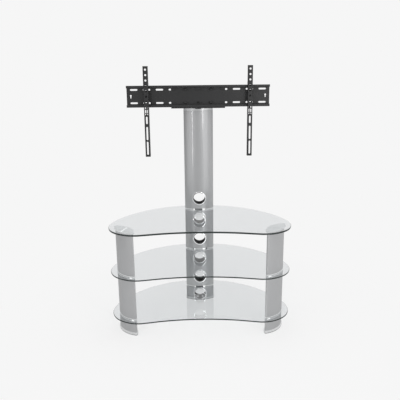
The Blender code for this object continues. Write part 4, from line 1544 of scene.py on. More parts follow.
@dataclass(frozen=True)
class Column(Post):
    """Rear column: foot, two sections between the shelves, the tall mast and the head."""

    hole_radius: float = 0.0314
    rear_hole_radius: float = 0.0300
    duct_steps: int = 8
    seats: Sequence[Flat] = ((-0.0295, -0.0235), (0.0155, 0.0285))
    slot_notch: Sequence[Flat] = ((-0.0295, 0.0285),)
    side_notches: Sequence[Flat] = ((-0.0375, -0.0310), (0.0330, 0.0395))
    cap_height: float = 0.012
    cap_flare: float = 0.0025
    pad_inset: float = 0.0008
    base_thickness: float = 0.004
    head_edge: float = 0.003
    head_steps: int = 5
    head_foot_edge: float = 0.0004
    head_hole: float = 0.006
    boss_width: float = 0.060
    boss_height: float = 0.072
    boss_rise: float = 0.026
    boss_round: float = 0.006
    boss_proud: float = 0.008
    boss_root: float = 0.0055
    boss_steps: int = 4

    def build(self) -> None:
        """Makes every piece of the column."""
        for node, holes in (("column_foot_section", (6,)), ("column_lower_section", (5, 4)),
                            ("column_upper_section", (3, 2)), ("column_mast", (1,))):
            self.build_section(node, [self.hole(number) for number in holes])
        plain = EndCap(self)
        slotted = EndCap(self, self.slot_notch, self.seats)
        # The side notches' walls carry near-black painted shade, so they show as dark spots.
        left, right = self.side_notches
        spotted = EndCap(self, (left, *self.seats, right), self.seats)
        for node, cap in (("column_mast_bottom_cap", slotted), ("column_upper_top_cap", plain),
                          ("column_upper_bottom_cap", spotted), ("column_lower_top_cap", plain),
                          ("column_lower_bottom_cap", slotted)):
            cap.build(node, self.openings())
        for number in range(1, 7):
            CableRing(self).build("cable_ring_%d" % number)
        self.build_foot_cap()
        self.build_head()

    def openings(self) -> Form:
        """Makes the cutter for the cable slot and the rod holes, as tall as the column.

        Returns:
            The cutter.
        """
        low, high = reach_of("column_foot_cap", 2)[0] - OVERRUN, reach_of("column_head", 2)[1]
        slot = stadium(*DUCT, self.duct_steps)
        return self.rod_holes(Form().bar(level_loop, slot, low, high), low, high)

    def hole(self, number: int) -> Form:
        """Makes the cutter for a cable hole.

        Args:
            number: Number of the hole, counted from the top.

        Returns:
            The cutter, wide in front for the ring and narrower in the rear face.
        """
        middle = (0.0, middle_of("cable_ring_%d" % number, 2))
        front = circle(self.hole_radius, RING_HOLE_SIDES, middle)
        rear = circle(self.rear_hole_radius, RING_HOLE_SIDES, middle)
        reach = self.extrusion.depth / 2 + OVERRUN
        return Form().skin([front_loop(front, -reach), front_loop(front, 0.0),
                            front_loop(rear, 0.0), front_loop(rear, reach)])

    def build_foot_cap(self) -> None:
        """Makes the flared cap on the floor, open for the lowest ring."""
        outer = -GAP - self.cap_flare
        rows = [(outer + self.pad_inset, 0.0), (outer + self.pad_inset, self.pad_height),
                *edge_rows(outer, self.pad_height, self.pad_edge, False),
                *edge_rows(outer, self.cap_height, self.rim_edge, True),
                (-GAP, self.cap_height), (-GAP, self.base_thickness)]
        cap = raw_piece("column_foot_cap_sleeve", self.extrusion.plate(rows))
        middle = (0.0, middle_of("cable_ring_6", 2))
        gap = circle(CableRing.radius + GAP, RING_HOLE_SIDES, middle)
        reach = self.extrusion.depth / 2 + self.cap_flare + OVERRUN
        combine(cap, Form().bar(front_loop, gap, -reach, reach))
        combine(cap, self.rod_holes(Form(), -OVERRUN, self.cap_height))
        # The pad's near-black is partly rubber and partly painted contact shadow.
        self.hand_over(cap, "column_foot_cap", Slot.TRIM,
                       (self.palette.foot_trim, self.palette.painted_shade_and_rubber), self.is_pad)

    def build_head(self) -> None:
        """Makes the head casting with its boss."""
        low, high = reach_of("column_mast", 2)[1] + GAP, reach_of("column_head", 2)[1]
        rows = [*edge_rows(0.0, low, self.head_foot_edge, False),
                *edge_rows(0.0, high, self.head_edge, True, self.head_steps)]
        head = raw_piece("column_head_casting", self.extrusion.plate(rows))
        half, base = self.boss_width / 2, low - GAP + self.boss_rise
        corners = oblong(-half, base, half, base + self.boss_height)
        outline = rounded([(x, z, self.boss_round) for x, z in corners], self.boss_steps)
        front = -self.extrusion.depth / 2
        boss = Form().bar(front_loop, outline, front - self.boss_proud, front + self.boss_root)
        combine(head, boss, "UNION")
        combine(head, self.rod_holes(Form(), high - self.head_hole, high + OVERRUN))
        self.hand_over(head, "column_head", Slot.SILVER, (self.palette.head_silver,))


@dataclass(frozen=True)
class Leg(Post):
    """One front leg: three lengths of the oval, their caps, the crown and the foot cap."""

    side: Side = Side.LEFT
    turn: float = radians(52.0)
    cap_height: float = 0.0128
    cap_flare: float = 0.0035
    cap_swell: float = 0.0008
    pad_height: float = 0.0026
    pad_inset: float = 0.0010
    rim_edge: float = 0.0008
    nut_recess: float = 0.018
    nut_sides: int = 40
    nut_depth: float = 0.0055
    strip_width: float = 0.0095
    strip_depth: float = 0.00025
    seat_span: Flat = (0.0545, 0.0675)
    notch_span: Flat = (0.0545, 0.0700)
    notch_depth: float = 0.004
    crown_flare: float = 0.0060
    crown_plate: float = 0.0026
    crown_edge: float = 0.0008
    strip_turn: float = radians(32.0)
    strip_tries: int = 4

    def node(self, name: str) -> str:
        """Full name of one of the leg's CAD nodes."""
        return "%s_leg_%s" % (self.side.word, name)

    def spot(self) -> Spot:
        """Place and turn of the leg."""
        rod, = self.rods
        return Spot(middle_of(rod, 0), middle_of(rod, 1), self.side.value * self.turn)

    def bore(self) -> Form:
        """Makes the cutter for the rod hole, as tall as the leg."""
        return self.rod_holes(Form(), -OVERRUN, reach_of(self.node("crown"), 2)[1] + OVERRUN)

    def mirrored(self, span: Flat) -> Flat:
        """Puts a span across the leg on the side that faces the viewer."""
        return tuple(sorted(-self.side.value * x for x in span))

    def build(self) -> None:
        """Makes every piece of the leg."""
        for name in ("foot_section", "lower_section", "upper_section"):
            self.build_section(self.node(name))
        seat, notch = self.mirrored(self.seat_span), self.mirrored(self.notch_span)
        plain = EndCap(self)
        seated = EndCap(self, (notch,), (seat,), notch_depth=self.notch_depth)
        for name, cap in (("foot_top_cap", seated), ("lower_bottom_cap", plain),
                          ("lower_top_cap", seated), ("upper_bottom_cap", plain)):
            cap.build(self.node(name), self.bore())
        self.build_crown()
        self.build_foot_cap()

    def drill(self, cap: Piece, low: float, high: float) -> None:
        """Cuts the round recess for the nut out of a cap."""
        recess = circle(self.nut_recess / 2, self.nut_sides)
        combine(cap, Form().bar(level_loop, recess, low, high))

    def build_crown(self) -> None:
        """Makes the cap under the top glass, with its nut recess and bond strip, which on the left
        leg is white and glows as a painted reflection.
        """
        node = self.node("crown")
        top = reach_of(node, 2)[1]
        seat, plate = top - EndCap.thickness, top - self.crown_plate
        inner, flare = self.extrusion.wall + GAP, -self.crown_flare
        rows = [(inner, seat - GAP - self.plug), (inner, seat), (0.0, seat), (0.0, plate),
                *edge_rows(flare, plate, self.crown_edge, False),
                *edge_rows(flare, top, self.crown_edge, True)]
        crown = raw_piece(node + "_cap", self.extrusion.plate(rows))
        self.drill(crown, top - self.nut_depth, top + OVERRUN)
        under = top - self.strip_depth
        channel = self.strip_outline(GAP)
        combine(crown, Form().bar(level_loop, channel, under - GAP, top + OVERRUN))
        combine(crown, self.bore())
        attach(crown, Form().bar(level_loop, self.strip_outline(0.0), under, top), 1)
        # Only the left crown's strip is white and glows, as a painted reflection; the right one
        # keeps the trim.
        strip_finish = self.palette.strip if self.side is Side.LEFT else self.palette.trim
        self.hand_over(crown, node, Slot.TRIM, (self.palette.trim, strip_finish))

    def strip_outline(self, play: float) -> list[Flat]:
        """Draws the strip that bonds the crown to the glass and runs across it at a slant.

        Args:
            play: How much wider and longer the channel is than the strip; zero for the strip.

        Returns:
            The outline.
        """
        half = self.strip_width / 2 + play
        turn = -self.side.value * self.strip_turn
        outline = []
        for side, end in ((-1, -1), (1, -1), (1, 1), (-1, 1)):
            shift = side * half / cos(turn)
            reach = self.extrusion.depth / 2 + play
            for _ in range(self.strip_tries):
                across = shift - end * reach * tan(turn)
                reach = self.extrusion.face_depth(across) + play
            outline.append((shift - end * reach * tan(turn), end * reach))
        return outline

    def build_foot_cap(self) -> None:
        """Makes the flared cap on the floor."""
        node = self.node("foot_cap")
        outer, inner = -self.cap_flare, self.extrusion.wall + GAP
        rows = [(outer + self.pad_inset, 0.0), (outer + self.pad_inset, self.pad_height),
                *edge_rows(outer, self.pad_height, self.pad_edge, False),
                *edge_rows(-self.cap_swell, self.cap_height, self.rim_edge, True),
                (inner, self.cap_height), (inner, self.cap_height + self.plug)]
        cap = raw_piece(node + "_cap", self.extrusion.plate(rows))
        self.drill(cap, -OVERRUN, self.nut_depth)
        combine(cap, self.bore())
        # The pad's near-black is partly rubber and partly painted contact shadow.
        self.hand_over(cap, node, Slot.TRIM, (self.palette.foot_trim, self.palette.painted_shade_and_rubber),
                       self.is_pad)


# Screen bracket

@dataclass(frozen=True)
class MountingPlate:
    """Folded steel plate with two rows of slots and a keyhole at each end."""

    palette: Palette
    node: str = "mounting_plate"
    thickness: float = 0.0025
    bend_radius: float = 0.0024
    lip_height: float = 0.012
    end_step: float = 0.001
    slot_pitch: float = 0.062
    slot_length: float = 0.0355
    slot_height: float = 0.0080
    row_spacing: float = 0.063
    slots_each_side: int = 5
    keyhole_inset: float = 0.0205
    keyhole_head: float = 0.0085
    keyhole_neck: float = 0.0045
    keyhole_length: float = 0.013
    keyhole_rise: float = 0.004
    head_spans: int = 16
    neck_spans: int = 8
    slot_steps: int = 8
    bend_steps: int = 6
    edge: float = 0.0004
    smooth_to: float = 35.0

    def section(self) -> list[Flat]:
        """Draws the folded section in depth and height.

        Returns:
            The closed outline.
        """
        low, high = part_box(self.node)
        half = self.thickness / 2
        lip, web = low.y + half, high.y - half
        foot, head = low.z + self.lip_height - half, high.z - self.lip_height + half
        corners = [(lip, low.z, 0.0), (lip, foot, self.bend_radius), (web, foot, self.bend_radius),
                   (web, head, self.bend_radius), (lip, head, self.bend_radius),
                   (lip, high.z, 0.0)]
        return strip(rounded(corners, self.bend_steps, closed=False), self.thickness)

    def keyhole(self, x: float, z: float) -> list[Flat]:
        """Draws a keyhole: a round head with a narrow neck below it.

        Args:
            x: Place across.
            z: Height of the head's middle.

        Returns:
            The outline.
        """
        head, neck = self.keyhole_head / 2, self.keyhole_neck / 2
        start = asin(neck / head)
        points = []
        for step in range(self.head_spans + 1):
            turn = start - QUARTER + (2 * pi - 2 * start) * step / self.head_spans
            points.append((x + head * cos(turn), z + head * sin(turn)))
        foot = z - self.keyhole_length + neck
        for step in range(self.neck_spans + 1):
            turn = pi + pi * step / self.neck_spans
            points.append((x + neck * cos(turn), foot + neck * sin(turn)))
        return points

    def openings(self) -> list[list[Flat]]:
        """Draws the slots, the keyholes and what is cut off the web's two ends.

        Returns:
            The outlines in height and across.
        """
        low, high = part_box(self.node)
        middle = (low.z + high.z) / 2
        outlines = []
        for row in (middle - self.row_spacing / 2, middle + self.row_spacing / 2):
            for index in range(-self.slots_each_side, self.slots_each_side + 1):
                outlines.append(stadium(self.slot_length, self.slot_height, self.slot_steps,
                                        (index * self.slot_pitch, row)))
        for side in (-1, 1):
            across = side * (high.x - self.keyhole_inset)
            outlines.append(self.keyhole(across, middle + self.keyhole_rise))
            near, far = sorted((side * (high.x - self.end_step), side * (high.x + OVERRUN)))
            outlines.append(oblong(near, low.z + self.lip_height, far, high.z - self.lip_height))
        return outlines

    def build(self) -> None:
        """Makes the plate."""
        low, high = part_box(self.node)
        form = Form().bar(side_loop, self.section(), low.x, high.x)
        plate = raw_piece(self.node + "_steel", form)
        cutter = Form()
        for outline in self.openings():
            cutter.bar(front_loop, outline, high.y - self.thickness - OVERRUN, high.y + OVERRUN)
        combine(plate, cutter)
        round_edges(plate, self.edge)
        shade_by_angle(plate, self.smooth_to, lies_square)
        deliver(plate, self.node, Slot.BLACK, (self.palette.black,))


@dataclass(frozen=True)
class PlateBolt:
    """Button-headed bolt with a hexagon socket, its shank and the nut run on behind."""

    palette: Palette
    shank: float = 0.008
    shank_end: float = 0.002
    head: float = 0.015
    head_height: float = 0.004
    socket: float = 0.005
    socket_depth: float = 0.0024
    nut_width: float = 0.013
    nut_height: float = 0.0045
    edge: float = 0.0006
    sides: int = 36
    dome_turn: float = radians(72.0)
    dome_steps: int = 6
    dome_run: float = 0.691
    dome_rise: float = 0.951
    dome_top: float = 0.72
    smooth_to: float = 32.0

    def hexagon(self, width: float, drawn_in: float = 0.0) -> list[Flat]:
        """Draws a hexagon with as many points as the bolt has sides.

        Args:
            width: Width across its flats.
            drawn_in: How far each side is moved in.

        Returns:
            The points in order.
        """
        points = []
        for index in range(self.sides):
            turn = 2 * pi * index / self.sides
            past = turn % (pi / 3) - pi / 6
            reach = (width / 2 - drawn_in) / cos(past)
            points.append((reach * cos(turn), reach * sin(turn)))
        return points

    def dome(self, seat: float) -> list[tuple[list[Flat], float]]:
        """Draws the rounded top of the head.

        Args:
            seat: Depth of the head's flat underside.

        Returns:
            Outlines and their depths, from the rim inwards.
        """
        rows = []
        fall = self.head / 2 - self.socket * self.dome_top
        for step in range(self.dome_steps + 1):
            turn = self.dome_turn * step / self.dome_steps
            radius = self.head / 2 - fall * (1 - cos(turn)) / self.dome_run
            rise = (self.head_height - self.edge) * sin(turn) / self.dome_rise
            rows.append((circle(radius, self.sides), seat - self.edge - rise))
        return rows

    def build(self, node: str) -> None:
        """Makes the bolt.

        Args:
            node: CAD node that it stands for.
        """
        low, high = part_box(node)
        x, z = (low.x + high.x) / 2, (low.z + high.z) / 2
        seat = low.y + self.head_height
        nut_rear = high.y - self.shank_end
        nut_front = nut_rear - self.nut_height
        shank, nut = circle(self.shank / 2, self.sides), self.hexagon(self.nut_width)
        socket = self.hexagon(self.socket)
        rows = [(circle(self.shank / 2 - self.edge, self.sides), high.y),
                (shank, high.y - self.edge), (shank, nut_rear),
                (self.hexagon(self.nut_width, self.edge), nut_rear), (nut, nut_rear - self.edge),
                (nut, nut_front), (shank, nut_front), (shank, seat),
                (circle(self.head / 2, self.sides), seat), *self.dome(seat),
                (socket, low.y), (socket, low.y + self.socket_depth)]
        loops = [front_loop([(x + px, z + pz) for px, pz in outline], depth)
                 for outline, depth in rows]
        bolt = raw_piece(node + "_steel", Form().skin(loops))
        shade_by_angle(bolt, self.smooth_to)
        deliver(bolt, node, Slot.BLACK, (self.palette.black,))


@dataclass(frozen=True)
class Bracket:
    """What stays on the column: the mounting plate and its bolts."""

    palette: Palette

    def build(self) -> None:
        """Makes the pieces."""
        MountingPlate(self.palette).build()
        for level in ("upper", "lower"):
            for side in Side:
                PlateBolt(self.palette).build("plate_bolt_%s_%s" % (level, side.word))


@dataclass(frozen=True)
class ScreenArm:
    """One upright arm that hangs on the plate, with its spring catch."""

    palette: Palette
    side: Side
    width: float = 0.024
    depth: float = 0.018
    wall: float = 0.002
    bend_radius: float = 0.0024
    bend_steps: int = 6
    edge: float = 0.0004
    inset: float = 0.0001
    hole: float = 0.0095
    hole_sides: int = 28
    hole_pitch: float = 0.025
    hole_count: int = 7
    hole_top_gap: float = 0.016
    slot_width: float = 0.0082
    long_slot: float = 0.0645
    short_slot: float = 0.0355
    slot_steps: int = 8
    foot_gap: float = 0.010
    low_bridge: float = 0.0075
    mid_bridge: float = 0.0135
    window_width: float = 0.0135
    window_height: float = 0.0365
    point_width: float = 0.009
    point_height: float = 0.011
    window_round: float = 0.0005
    point_round: float = 0.0008
    top_round: float = 0.0010
    hook_reach: float = 0.009
    hook_tongue: float = 0.0032
    hook_root: float = 0.014
    hook_rounds: Point = (0.0004, 0.0014, 0.004)
    bridge_inset: float = 0.001
    lip_play: float = 0.0006
    seat_thickness: float = 0.0025
    catch_thickness: float = 0.0035
    catch_play: float = 0.002
    catch_edge: float = 0.0003
    catch_rounds: Point = (0.0020, 0.0012, 0.0004)
    floor_round: float = 0.0006
    root_round: float = 0.0008
    round_steps: int = 4
    hook_half: float = 0.0035
    tip_edge: float = 0.0006
    pin: float = 0.003
    pin_sides: int = 20
    bore_sides: int = 28
    pin_play: float = 0.0004
    pin_reach: float = 0.011
    spring_wire: float = 0.0008
    wire_sides: int = 12
    wire_smooth_to: float = 50.0
    spring_turns: int = 5
    turn_points: int = 28
    catch_travel: float = 0.009

    def node(self, name: str) -> str:
        """Full name of one of the arm's CAD nodes."""
        return "%s_%s" % (name, self.side.word)

    def body(self, name: str) -> str:
        """Full name of one of the arm's bodies or joints."""
        return "%s_%s" % (self.side.word, name)

    def front(self) -> float:
        """Depth of the arm's front face."""
        return reach_of(self.node("arm"), 1)[0]

    def rear(self) -> float:
        """Depth of the arm's rear edges."""
        return self.front() + self.depth

    def inner_half(self) -> float:
        """Half of the width between the middles of the side walls."""
        return self.width / 2 - self.wall / 2

    def seat_top(self) -> float:
        """Height of the spring seat's upper face."""
        return reach_of(self.node("catch_spring"), 2)[0] - GAP / 2

    def spring_depth(self) -> float:
        """Depth of the spring's middle line."""
        return middle_of(self.node("catch_spring"), 1)

    def hand_over(self, piece: Piece, name: str, slot: Slot, material: Material,
                  body: str) -> None:
        """Delivers a piece to the arm's place across."""
        spot = Spot(middle_of(self.node("arm"), 0))
        deliver(piece, self.node(name), slot, (material,), body=self.body(body), spot=spot)

    def build(self) -> None:
        """Makes the arm, its catch and its spring."""
        self.build_channel()
        self.build_catch()
        self.build_spring()

    def build_channel(self) -> None:
        """Makes the folded channel with its ears, spring seat and pin."""
        base, top = reach_of(self.node("arm"), 2)
        half, front, rear = self.inner_half(), self.front() + self.wall / 2, self.rear()
        corners = [(-half, rear, 0.0), (-half, front, self.bend_radius),
                   (half, front, self.bend_radius), (half, rear, 0.0)]
        section = strip(rounded(corners, self.bend_steps, closed=False), self.wall)
        arm = raw_piece(self.node("arm") + "_channel", Form().bar(level_loop, section, base, top))
        cutter = Form()
        for outline in self.openings(base, top):
            cutter.bar(front_loop, outline, self.front() - OVERRUN,
                       self.front() + self.wall + OVERRUN)
        combine(arm, cutter)
        round_edges(arm, self.edge)
        for form in (self.ears(), self.spring_seat(), self.guide_pin()):
            combine(arm, form, "UNION")
        shade_by_angle(arm, MountingPlate.smooth_to, lies_square)
        self.hand_over(arm, "arm", Slot.BLACK, self.palette.black, "arm")

    def ears(self) -> Form:
        """Makes the two ears that hook over the plate's upper lip, and the bridge between them.

        Returns:
            The form.
        """
        plate_low, plate_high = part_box("mounting_plate")
        root = self.rear() - self.wall
        seat = plate_high.z + GAP
        inner = plate_low.y + MountingPlate.thickness + self.lip_play
        outer = inner + self.hook_tongue
        tip = plate_high.z - self.hook_reach
        top = seat + self.hook_root
        inside, point, back = self.hook_rounds
        corners = [(root, seat, 0.0), (inner, seat, inside), (inner, tip, 0.0),
                   (outer, tip, point), (outer, top, back), (root, top, 0.0)]
        outline = rounded(corners, self.round_steps)
        form = Form()
        for edge in (-self.width / 2, self.width / 2 - self.wall):
            form.bar(side_loop, outline, edge + self.inset, edge + self.wall - self.inset)
        half = self.inner_half()
        bridge = oblong(-half, seat + self.bridge_inset, half, top - self.bridge_inset)
        return form.bar(front_loop, bridge, root + self.inset, self.rear() - self.inset)

    def openings(self, base: float, top: float) -> list[list[Flat]]:
        """Draws the holes, the slots and the window in the arm's face.

        Args:
            base: Lower end of the arm.
            top: Upper end of the arm.

        Returns:
            The outlines in height and across.
        """
        highest = top - self.hole_top_gap
        outlines = []
        for index in range(self.hole_count):
            middle = (0.0, highest - index * self.hole_pitch)
            outlines.append(circle(self.hole / 2, self.hole_sides, middle))
        low = base + self.foot_gap
        for length, bridge in ((self.long_slot, self.low_bridge),
                               (self.long_slot, self.mid_bridge),
                               (self.short_slot, self.low_bridge)):
            outlines.append(stadium(length, self.slot_width, self.slot_steps,
                                    (0.0, low + length / 2), upright=True))
            low += length + bridge
        half, point = self.window_width / 2, self.point_width / 2
        high = low + self.window_height
        corners = [(x, low, self.window_round) for x in (-half, -point, point, half)]
        corners.insert(2, (0.0, low + self.point_height, self.point_round))
        corners += [(half, high, self.top_round), (-half, high, self.top_round)]
        return outlines + [rounded(corners, 3)]

    def spring_seat(self) -> Form:
        """Makes the seat across the channel.

        Returns:
            The form.
        """
        half = self.inner_half()
        box = oblong(-half, self.front() + self.wall / 2, half, self.rear() - self.wall)
        top = self.seat_top()
        return Form().bar(level_loop, box, top - self.seat_thickness, top)

    def guide_pin(self) -> Form:
        """Makes the guide pin of the spring, with a rounded tip.

        Returns:
            The form.
        """
        radius = self.pin / 2
        tip = reach_of(self.node("catch"), 2)[0] + self.catch_thickness + self.pin_reach
        rows = [(radius, self.seat_top() - self.seat_thickness / 2), (radius, tip - self.tip_edge),
                (radius - self.tip_edge, tip)]
        middle = (0.0, self.spring_depth())
        return Form().skin([level_loop(circle(width, self.pin_sides, middle), height)
                            for width, height in rows])

    def build_catch(self) -> None:
        """Makes the sliding catch that closes behind the plate's lower lip."""
        node = self.node("catch")
        low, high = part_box(node)
        floor, hook = low.z + self.catch_thickness, high.y - self.hook_tongue
        back, tip, point = self.catch_rounds
        corners = [(low.y, low.z, self.floor_round), (high.y, low.z, back), (high.y, high.z, tip),
                   (hook, high.z, point), (hook, floor, self.root_round),
                   (low.y, floor, self.floor_round)]
        outline = rounded(corners, self.round_steps)
        half = (high.x - low.x) / 2
        catch = raw_piece(node + "_steel", Form().bar(side_loop, outline, -half, half))
        cutter = Form()
        for side in (-1, 1):
            box = oblong(side * self.hook_half, floor + self.tip_edge, side * (half + OVERRUN),
                         high.z + OVERRUN)
            cutter.bar(front_loop, box, low.y + self.catch_play, high.y + OVERRUN)
        combine(catch, cutter)
        radius = self.pin / 2 + self.pin_play
        bore = circle(radius, self.bore_sides, (0.0, self.spring_depth()))
        combine(catch, Form().bar(level_loop, bore, low.z - OVERRUN, high.z))
        round_edges(catch, self.catch_edge)
        shade_by_angle(catch, MountingPlate.smooth_to, lies_square)
        self.hand_over(catch, "catch", Slot.BLACK, self.palette.black, "catch")

    def build_spring(self) -> None:
        """Makes the coil at its rest length; its anchor and length are worked out but not used."""
        node = self.node("catch_spring")
        low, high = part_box(node)
        radius = (high.x - low.x - self.spring_wire) / 2
        count = self.spring_turns * self.turn_points
        rise = high.z - low.z - self.spring_wire
        points = []
        for index in range(count + 1):
            turn = 2 * pi * index / self.turn_points
            points.append(Vector((radius * cos(turn),
                                  self.spring_depth() + radius * sin(turn),
                                  low.z + self.spring_wire / 2 + rise * index / count)))
        loops = wire_loops(points, self.spring_wire / 2, self.wire_sides)
        spring = raw_piece(node + "_wire", Form().skin(loops))
        shade_by_angle(spring, self.wire_smooth_to)
        self.hand_over(spring, "catch_spring", Slot.ZINC, self.palette.zinc, "arm")
        seat = self.seat_top()
        anchor = (middle_of(self.node("arm"), 0), self.spring_depth(), seat)
        length = reach_of(self.node("catch"), 2)[0] - seat
        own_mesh(spring)


# Carried-over nodes

@dataclass(frozen=True)
class Hardware:
    """CAD nodes whose shape stays: rods, screws and the plates inside and behind."""

    palette: Palette
    edge: float = 0.0003

    def dress(self) -> None:
        """Gives each carried-over node its finish and broken edges."""
        black = ("adapter_plate", "adapter_screw_upper", "adapter_screw_lower")
        for name in (*black, "column_foot_top_plate", *COLUMN_RODS, *LEG_RODS):
            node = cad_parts[name]
            material = self.palette.black if name in black else self.palette.zinc
            for slot in node.material_slots:
                slot.material = material
            broken_edges(node, self.edge)
            LOG.info("%s: carried over with %s", name, material.name)


# Studio

LAMP_WATTS = 4  # for each square metre, at a radiance of 1


@dataclass(frozen=True)
class StripLamp:
    """Upright lamp panel that stands round the column, out of the picture."""

    name: str
    azimuth: float
    distance: float
    width: float
    low: float
    high: float
    radiance: float

    def build(self, target: Flat) -> None:
        """Makes the lamp.

        Args:
            target: Place on the floor plan that it faces.
        """
        light = bpy.data.lights.new(self.name, "AREA")
        light.shape = "RECTANGLE"
        light.size = self.width
        light.size_y = self.high - self.low
        light.energy = LAMP_WATTS * self.radiance * light.size * light.size_y
        lamp = bpy.data.objects.new(self.name, light)
        turn = radians(self.azimuth)
        away = Vector((sin(turn), -cos(turn), 0.0))
        lamp.location = Vector((*target, (self.low + self.high) / 2)) + away * self.distance
        lamp.rotation_euler = away.to_track_quat("Z", "Y").to_euler()
        lamp.visible_camera = False
        bpy.context.scene.collection.objects.link(lamp)


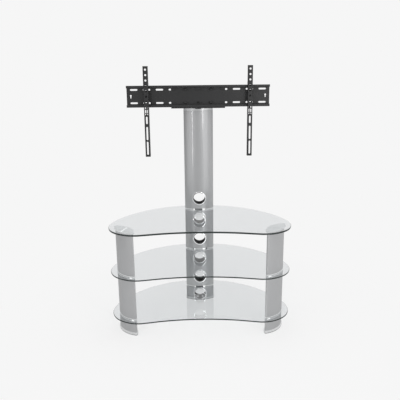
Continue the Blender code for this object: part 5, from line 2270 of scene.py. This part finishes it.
@dataclass(frozen=True)
class Studio:
    """Camera, pale floor and soft light."""

    lens: float = 45.54
    sensor: float = 36.0
    camera_place: Point = (-0.0170, -2.3617, 1.2380)
    yaw: float = -0.483
    pitch: float = 15.065
    roll: float = -0.605
    backdrop: float = 0.9216
    room: float = 0.62
    room_span: Flat = (-0.1, 0.45)
    left_span: Flat = (-0.95, -0.5)
    right_span: Flat = (0.2, 0.9)
    side_shares: Flat = (0.56, 1.42)
    flag: float = 0.45
    flag_place: float = 0.007
    flag_edge: Flat = (0.014, 0.020)
    ceiling: float = 1.15
    ceiling_span: Flat = (0.40, 0.75)
    floor_tone: float = 0.80
    floor_roughness: float = 0.9
    floor_radius: float = 1.9
    floor_sides: int = 96
    shadow_share: float = 0.26
    shadow_span: Flat = (0.45, 1.05)
    # The streak is a painted reflection: bright floor that only mirrored rays see, at the
    # highlight lamp's angle.
    streak_turn: float = 0.3927
    streak_reach: Flat = (0.06, 0.12)
    streak_lift: float = 2.0
    lamps: Sequence[StripLamp] = (
        StripLamp("crease_strip", -30.5, 2.0, 0.12, 0.35, 1.70, 5.8),
        StripLamp("left_panel", -50.0, 2.1, 0.90, 0.15, 1.10, 0.70),
        StripLamp("highlight_strip", 22.5, 2.0, 0.22, 0.68, 1.70, 5.0),
        StripLamp("right_panel", 36.0, 2.1, 0.90, 0.10, 1.70, 0.85),
    )

    def build(self) -> None:
        """Makes the whole studio."""
        self.build_camera()
        self.build_world()
        self.build_floor()
        for lamp in self.lamps:
            lamp.build((middle_of("column_mast", 0), middle_of("column_mast", 1)))
        bpy.context.scene.view_settings.view_transform = "Standard"
        LOG.info("studio: %d lamps", len(self.lamps))

    def build_camera(self) -> None:
        """Makes the camera at the photograph's place and angle."""
        data = bpy.data.cameras.new("photo_camera")
        data.lens = self.lens
        data.sensor_width = self.sensor
        camera = bpy.data.objects.new("photo_camera", data)
        aim = (Matrix.Rotation(radians(self.yaw), 4, "Z")
               @ Matrix.Rotation(radians(90.0 - self.pitch), 4, "X")
               @ Matrix.Rotation(radians(self.roll), 4, "Z"))
        camera.matrix_world = Matrix.Translation(self.camera_place) @ aim
        bpy.context.scene.collection.objects.link(camera)
        bpy.context.scene.camera = camera

    def build_world(self) -> None:
        """Makes the even light, which shows as the pale backdrop."""
        world = bpy.data.worlds.new("soft_studio")
        world.use_nodes = True
        bpy.context.scene.world = world
        graph = Graph(world.node_tree)
        way = graph.split(graph.add("TexCoord").outputs["Generated"])
        path = graph.add("LightPath").outputs
        depth = graph.spread(way["Y"], self.room_span, (self.room, self.backdrop))
        left = graph.spread(way["X"], self.left_span, (self.side_shares[0], 1.0))
        right = graph.spread(way["X"], self.right_span, (1.0, self.side_shares[1]))
        level = graph.math("MULTIPLY", depth, graph.math("MULTIPLY", left, right))
        away = graph.math("ABSOLUTE", graph.math("SUBTRACT", way["X"], self.flag_place))
        beside = graph.spread(away, self.flag_edge, (1.0, 0.0))
        flag = graph.math("MULTIPLY", beside, graph.math("GREATER_THAN", way["Y"], 0.0))
        flag = graph.math("MULTIPLY", flag, path["Is Glossy Ray"])
        level = graph.math("MULTIPLY", level, graph.spread(flag, FULL, (1.0, self.flag)))
        above = graph.spread(way["Z"], self.ceiling_span, FULL)
        rise = graph.math("MULTIPLY", above, graph.math("SUBTRACT", self.ceiling, level))
        studio = graph.math("ADD", level, rise)
        plain = graph.math("MAXIMUM", path["Is Camera Ray"], path["Is Transmission Ray"])
        shade = graph.spread(plain, FULL, (studio, self.backdrop))
        graph.feed(world.node_tree.nodes["Background"], {"Color": shade})

    def painted_reflection_streak(self, graph: Graph, place: Socket) -> Socket:
        """Works out how bright metal sees the floor, where a painted reflection streak lies before
        the column that only mirrored rays see.

        Args:
            graph: The floor's nodes.
            place: Point on the floor.

        Returns:
            The strength, which is 1 for every ray but a mirrored one.
        """
        spot = graph.split(place)
        path = graph.add("LightPath").outputs
        across = graph.math("SUBTRACT", spot["X"], middle_of("column_mast", 0))
        ahead = graph.math("SUBTRACT", middle_of("column_mast", 1), spot["Y"])
        off = graph.math("SUBTRACT", graph.math("ARCTAN2", across, ahead), self.streak_turn)
        off = graph.math("ABSOLUTE", off)
        streak = graph.spread(off, self.streak_reach, (self.streak_lift, 0.0))
        mirrored = graph.math("MULTIPLY", path["Is Glossy Ray"], path["Is Reflection Ray"])
        return graph.math("ADD", graph.math("MULTIPLY", streak, mirrored), 1.0)

    def build_floor(self) -> None:
        """Makes the pale floor, which has a soft shadow and meets the backdrop unseen."""
        rim = circle(self.floor_radius, self.floor_sides)
        mesh = bpy.data.meshes.new("studio_floor")
        mesh.from_pydata(level_loop(rim, 0.0), [], [tuple(range(len(rim)))])
        floor = bpy.data.objects.new("studio_floor", mesh)
        bpy.context.scene.collection.objects.link(floor)
        material, graph, shader = new_material("pale_floor")
        graph.feed(shader, {"Base Color": grey(self.floor_tone).rgba(),
                            "Roughness": self.floor_roughness, "Specular IOR Level": 0.0})
        place = graph.place()
        distance = graph.add("VectorMath", {0: place}, operation="LENGTH").outputs["Value"]
        near = graph.spread(distance, self.shadow_span, (self.shadow_share, 0.0))
        # The floor's glow is the even backdrop, plus the painted reflection streak for mirrored
        # rays.
        painted_glow = graph.add("Emission", {"Color": grey(self.backdrop).rgba(),
                                      "Strength": self.painted_reflection_streak(graph, place)})
        path = graph.add("LightPath").outputs
        seen = graph.math("MAXIMUM", path["Is Glossy Ray"], path["Is Transmission Ray"])
        seen = graph.math("MAXIMUM", path["Is Camera Ray"], seen)
        share = graph.math("MULTIPLY", seen, graph.math("SUBTRACT", 1.0, near))
        graph.shown(share, shader, painted_glow)
        mesh.materials.append(material)
        floor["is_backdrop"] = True


def write_sizes() -> None:
    """Lays the CAD box and the finished model's box side by side; nothing is written."""
    boxes = {"cad": CAD_BOX, "visual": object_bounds()}
    plain = {name: [list(corner) for corner in box] for name, box in boxes.items()}


def main() -> None:
    """Builds the studio and the stand."""
    logging.basicConfig(level=logging.INFO, format="%(name)s: %(message)s")
    Studio().build()
    palette = Palette()
    GlassShelf(palette, "glass_bottom_shelf").build()
    GlassShelf(palette, "glass_middle_shelf").build()
    GlassShelf(palette, "glass_top_shelf", COLUMN_RODS).build()
    Column(palette).build()
    for side, rod in zip(Side, LEG_RODS):
        Leg(palette, rods=(rod,), side=side).build()
    Bracket(palette).build()
    for side in Side:
        ScreenArm(palette, side).build()
    Hardware(palette).dress()
    write_sizes()


if __name__ == "__main__":
    main()
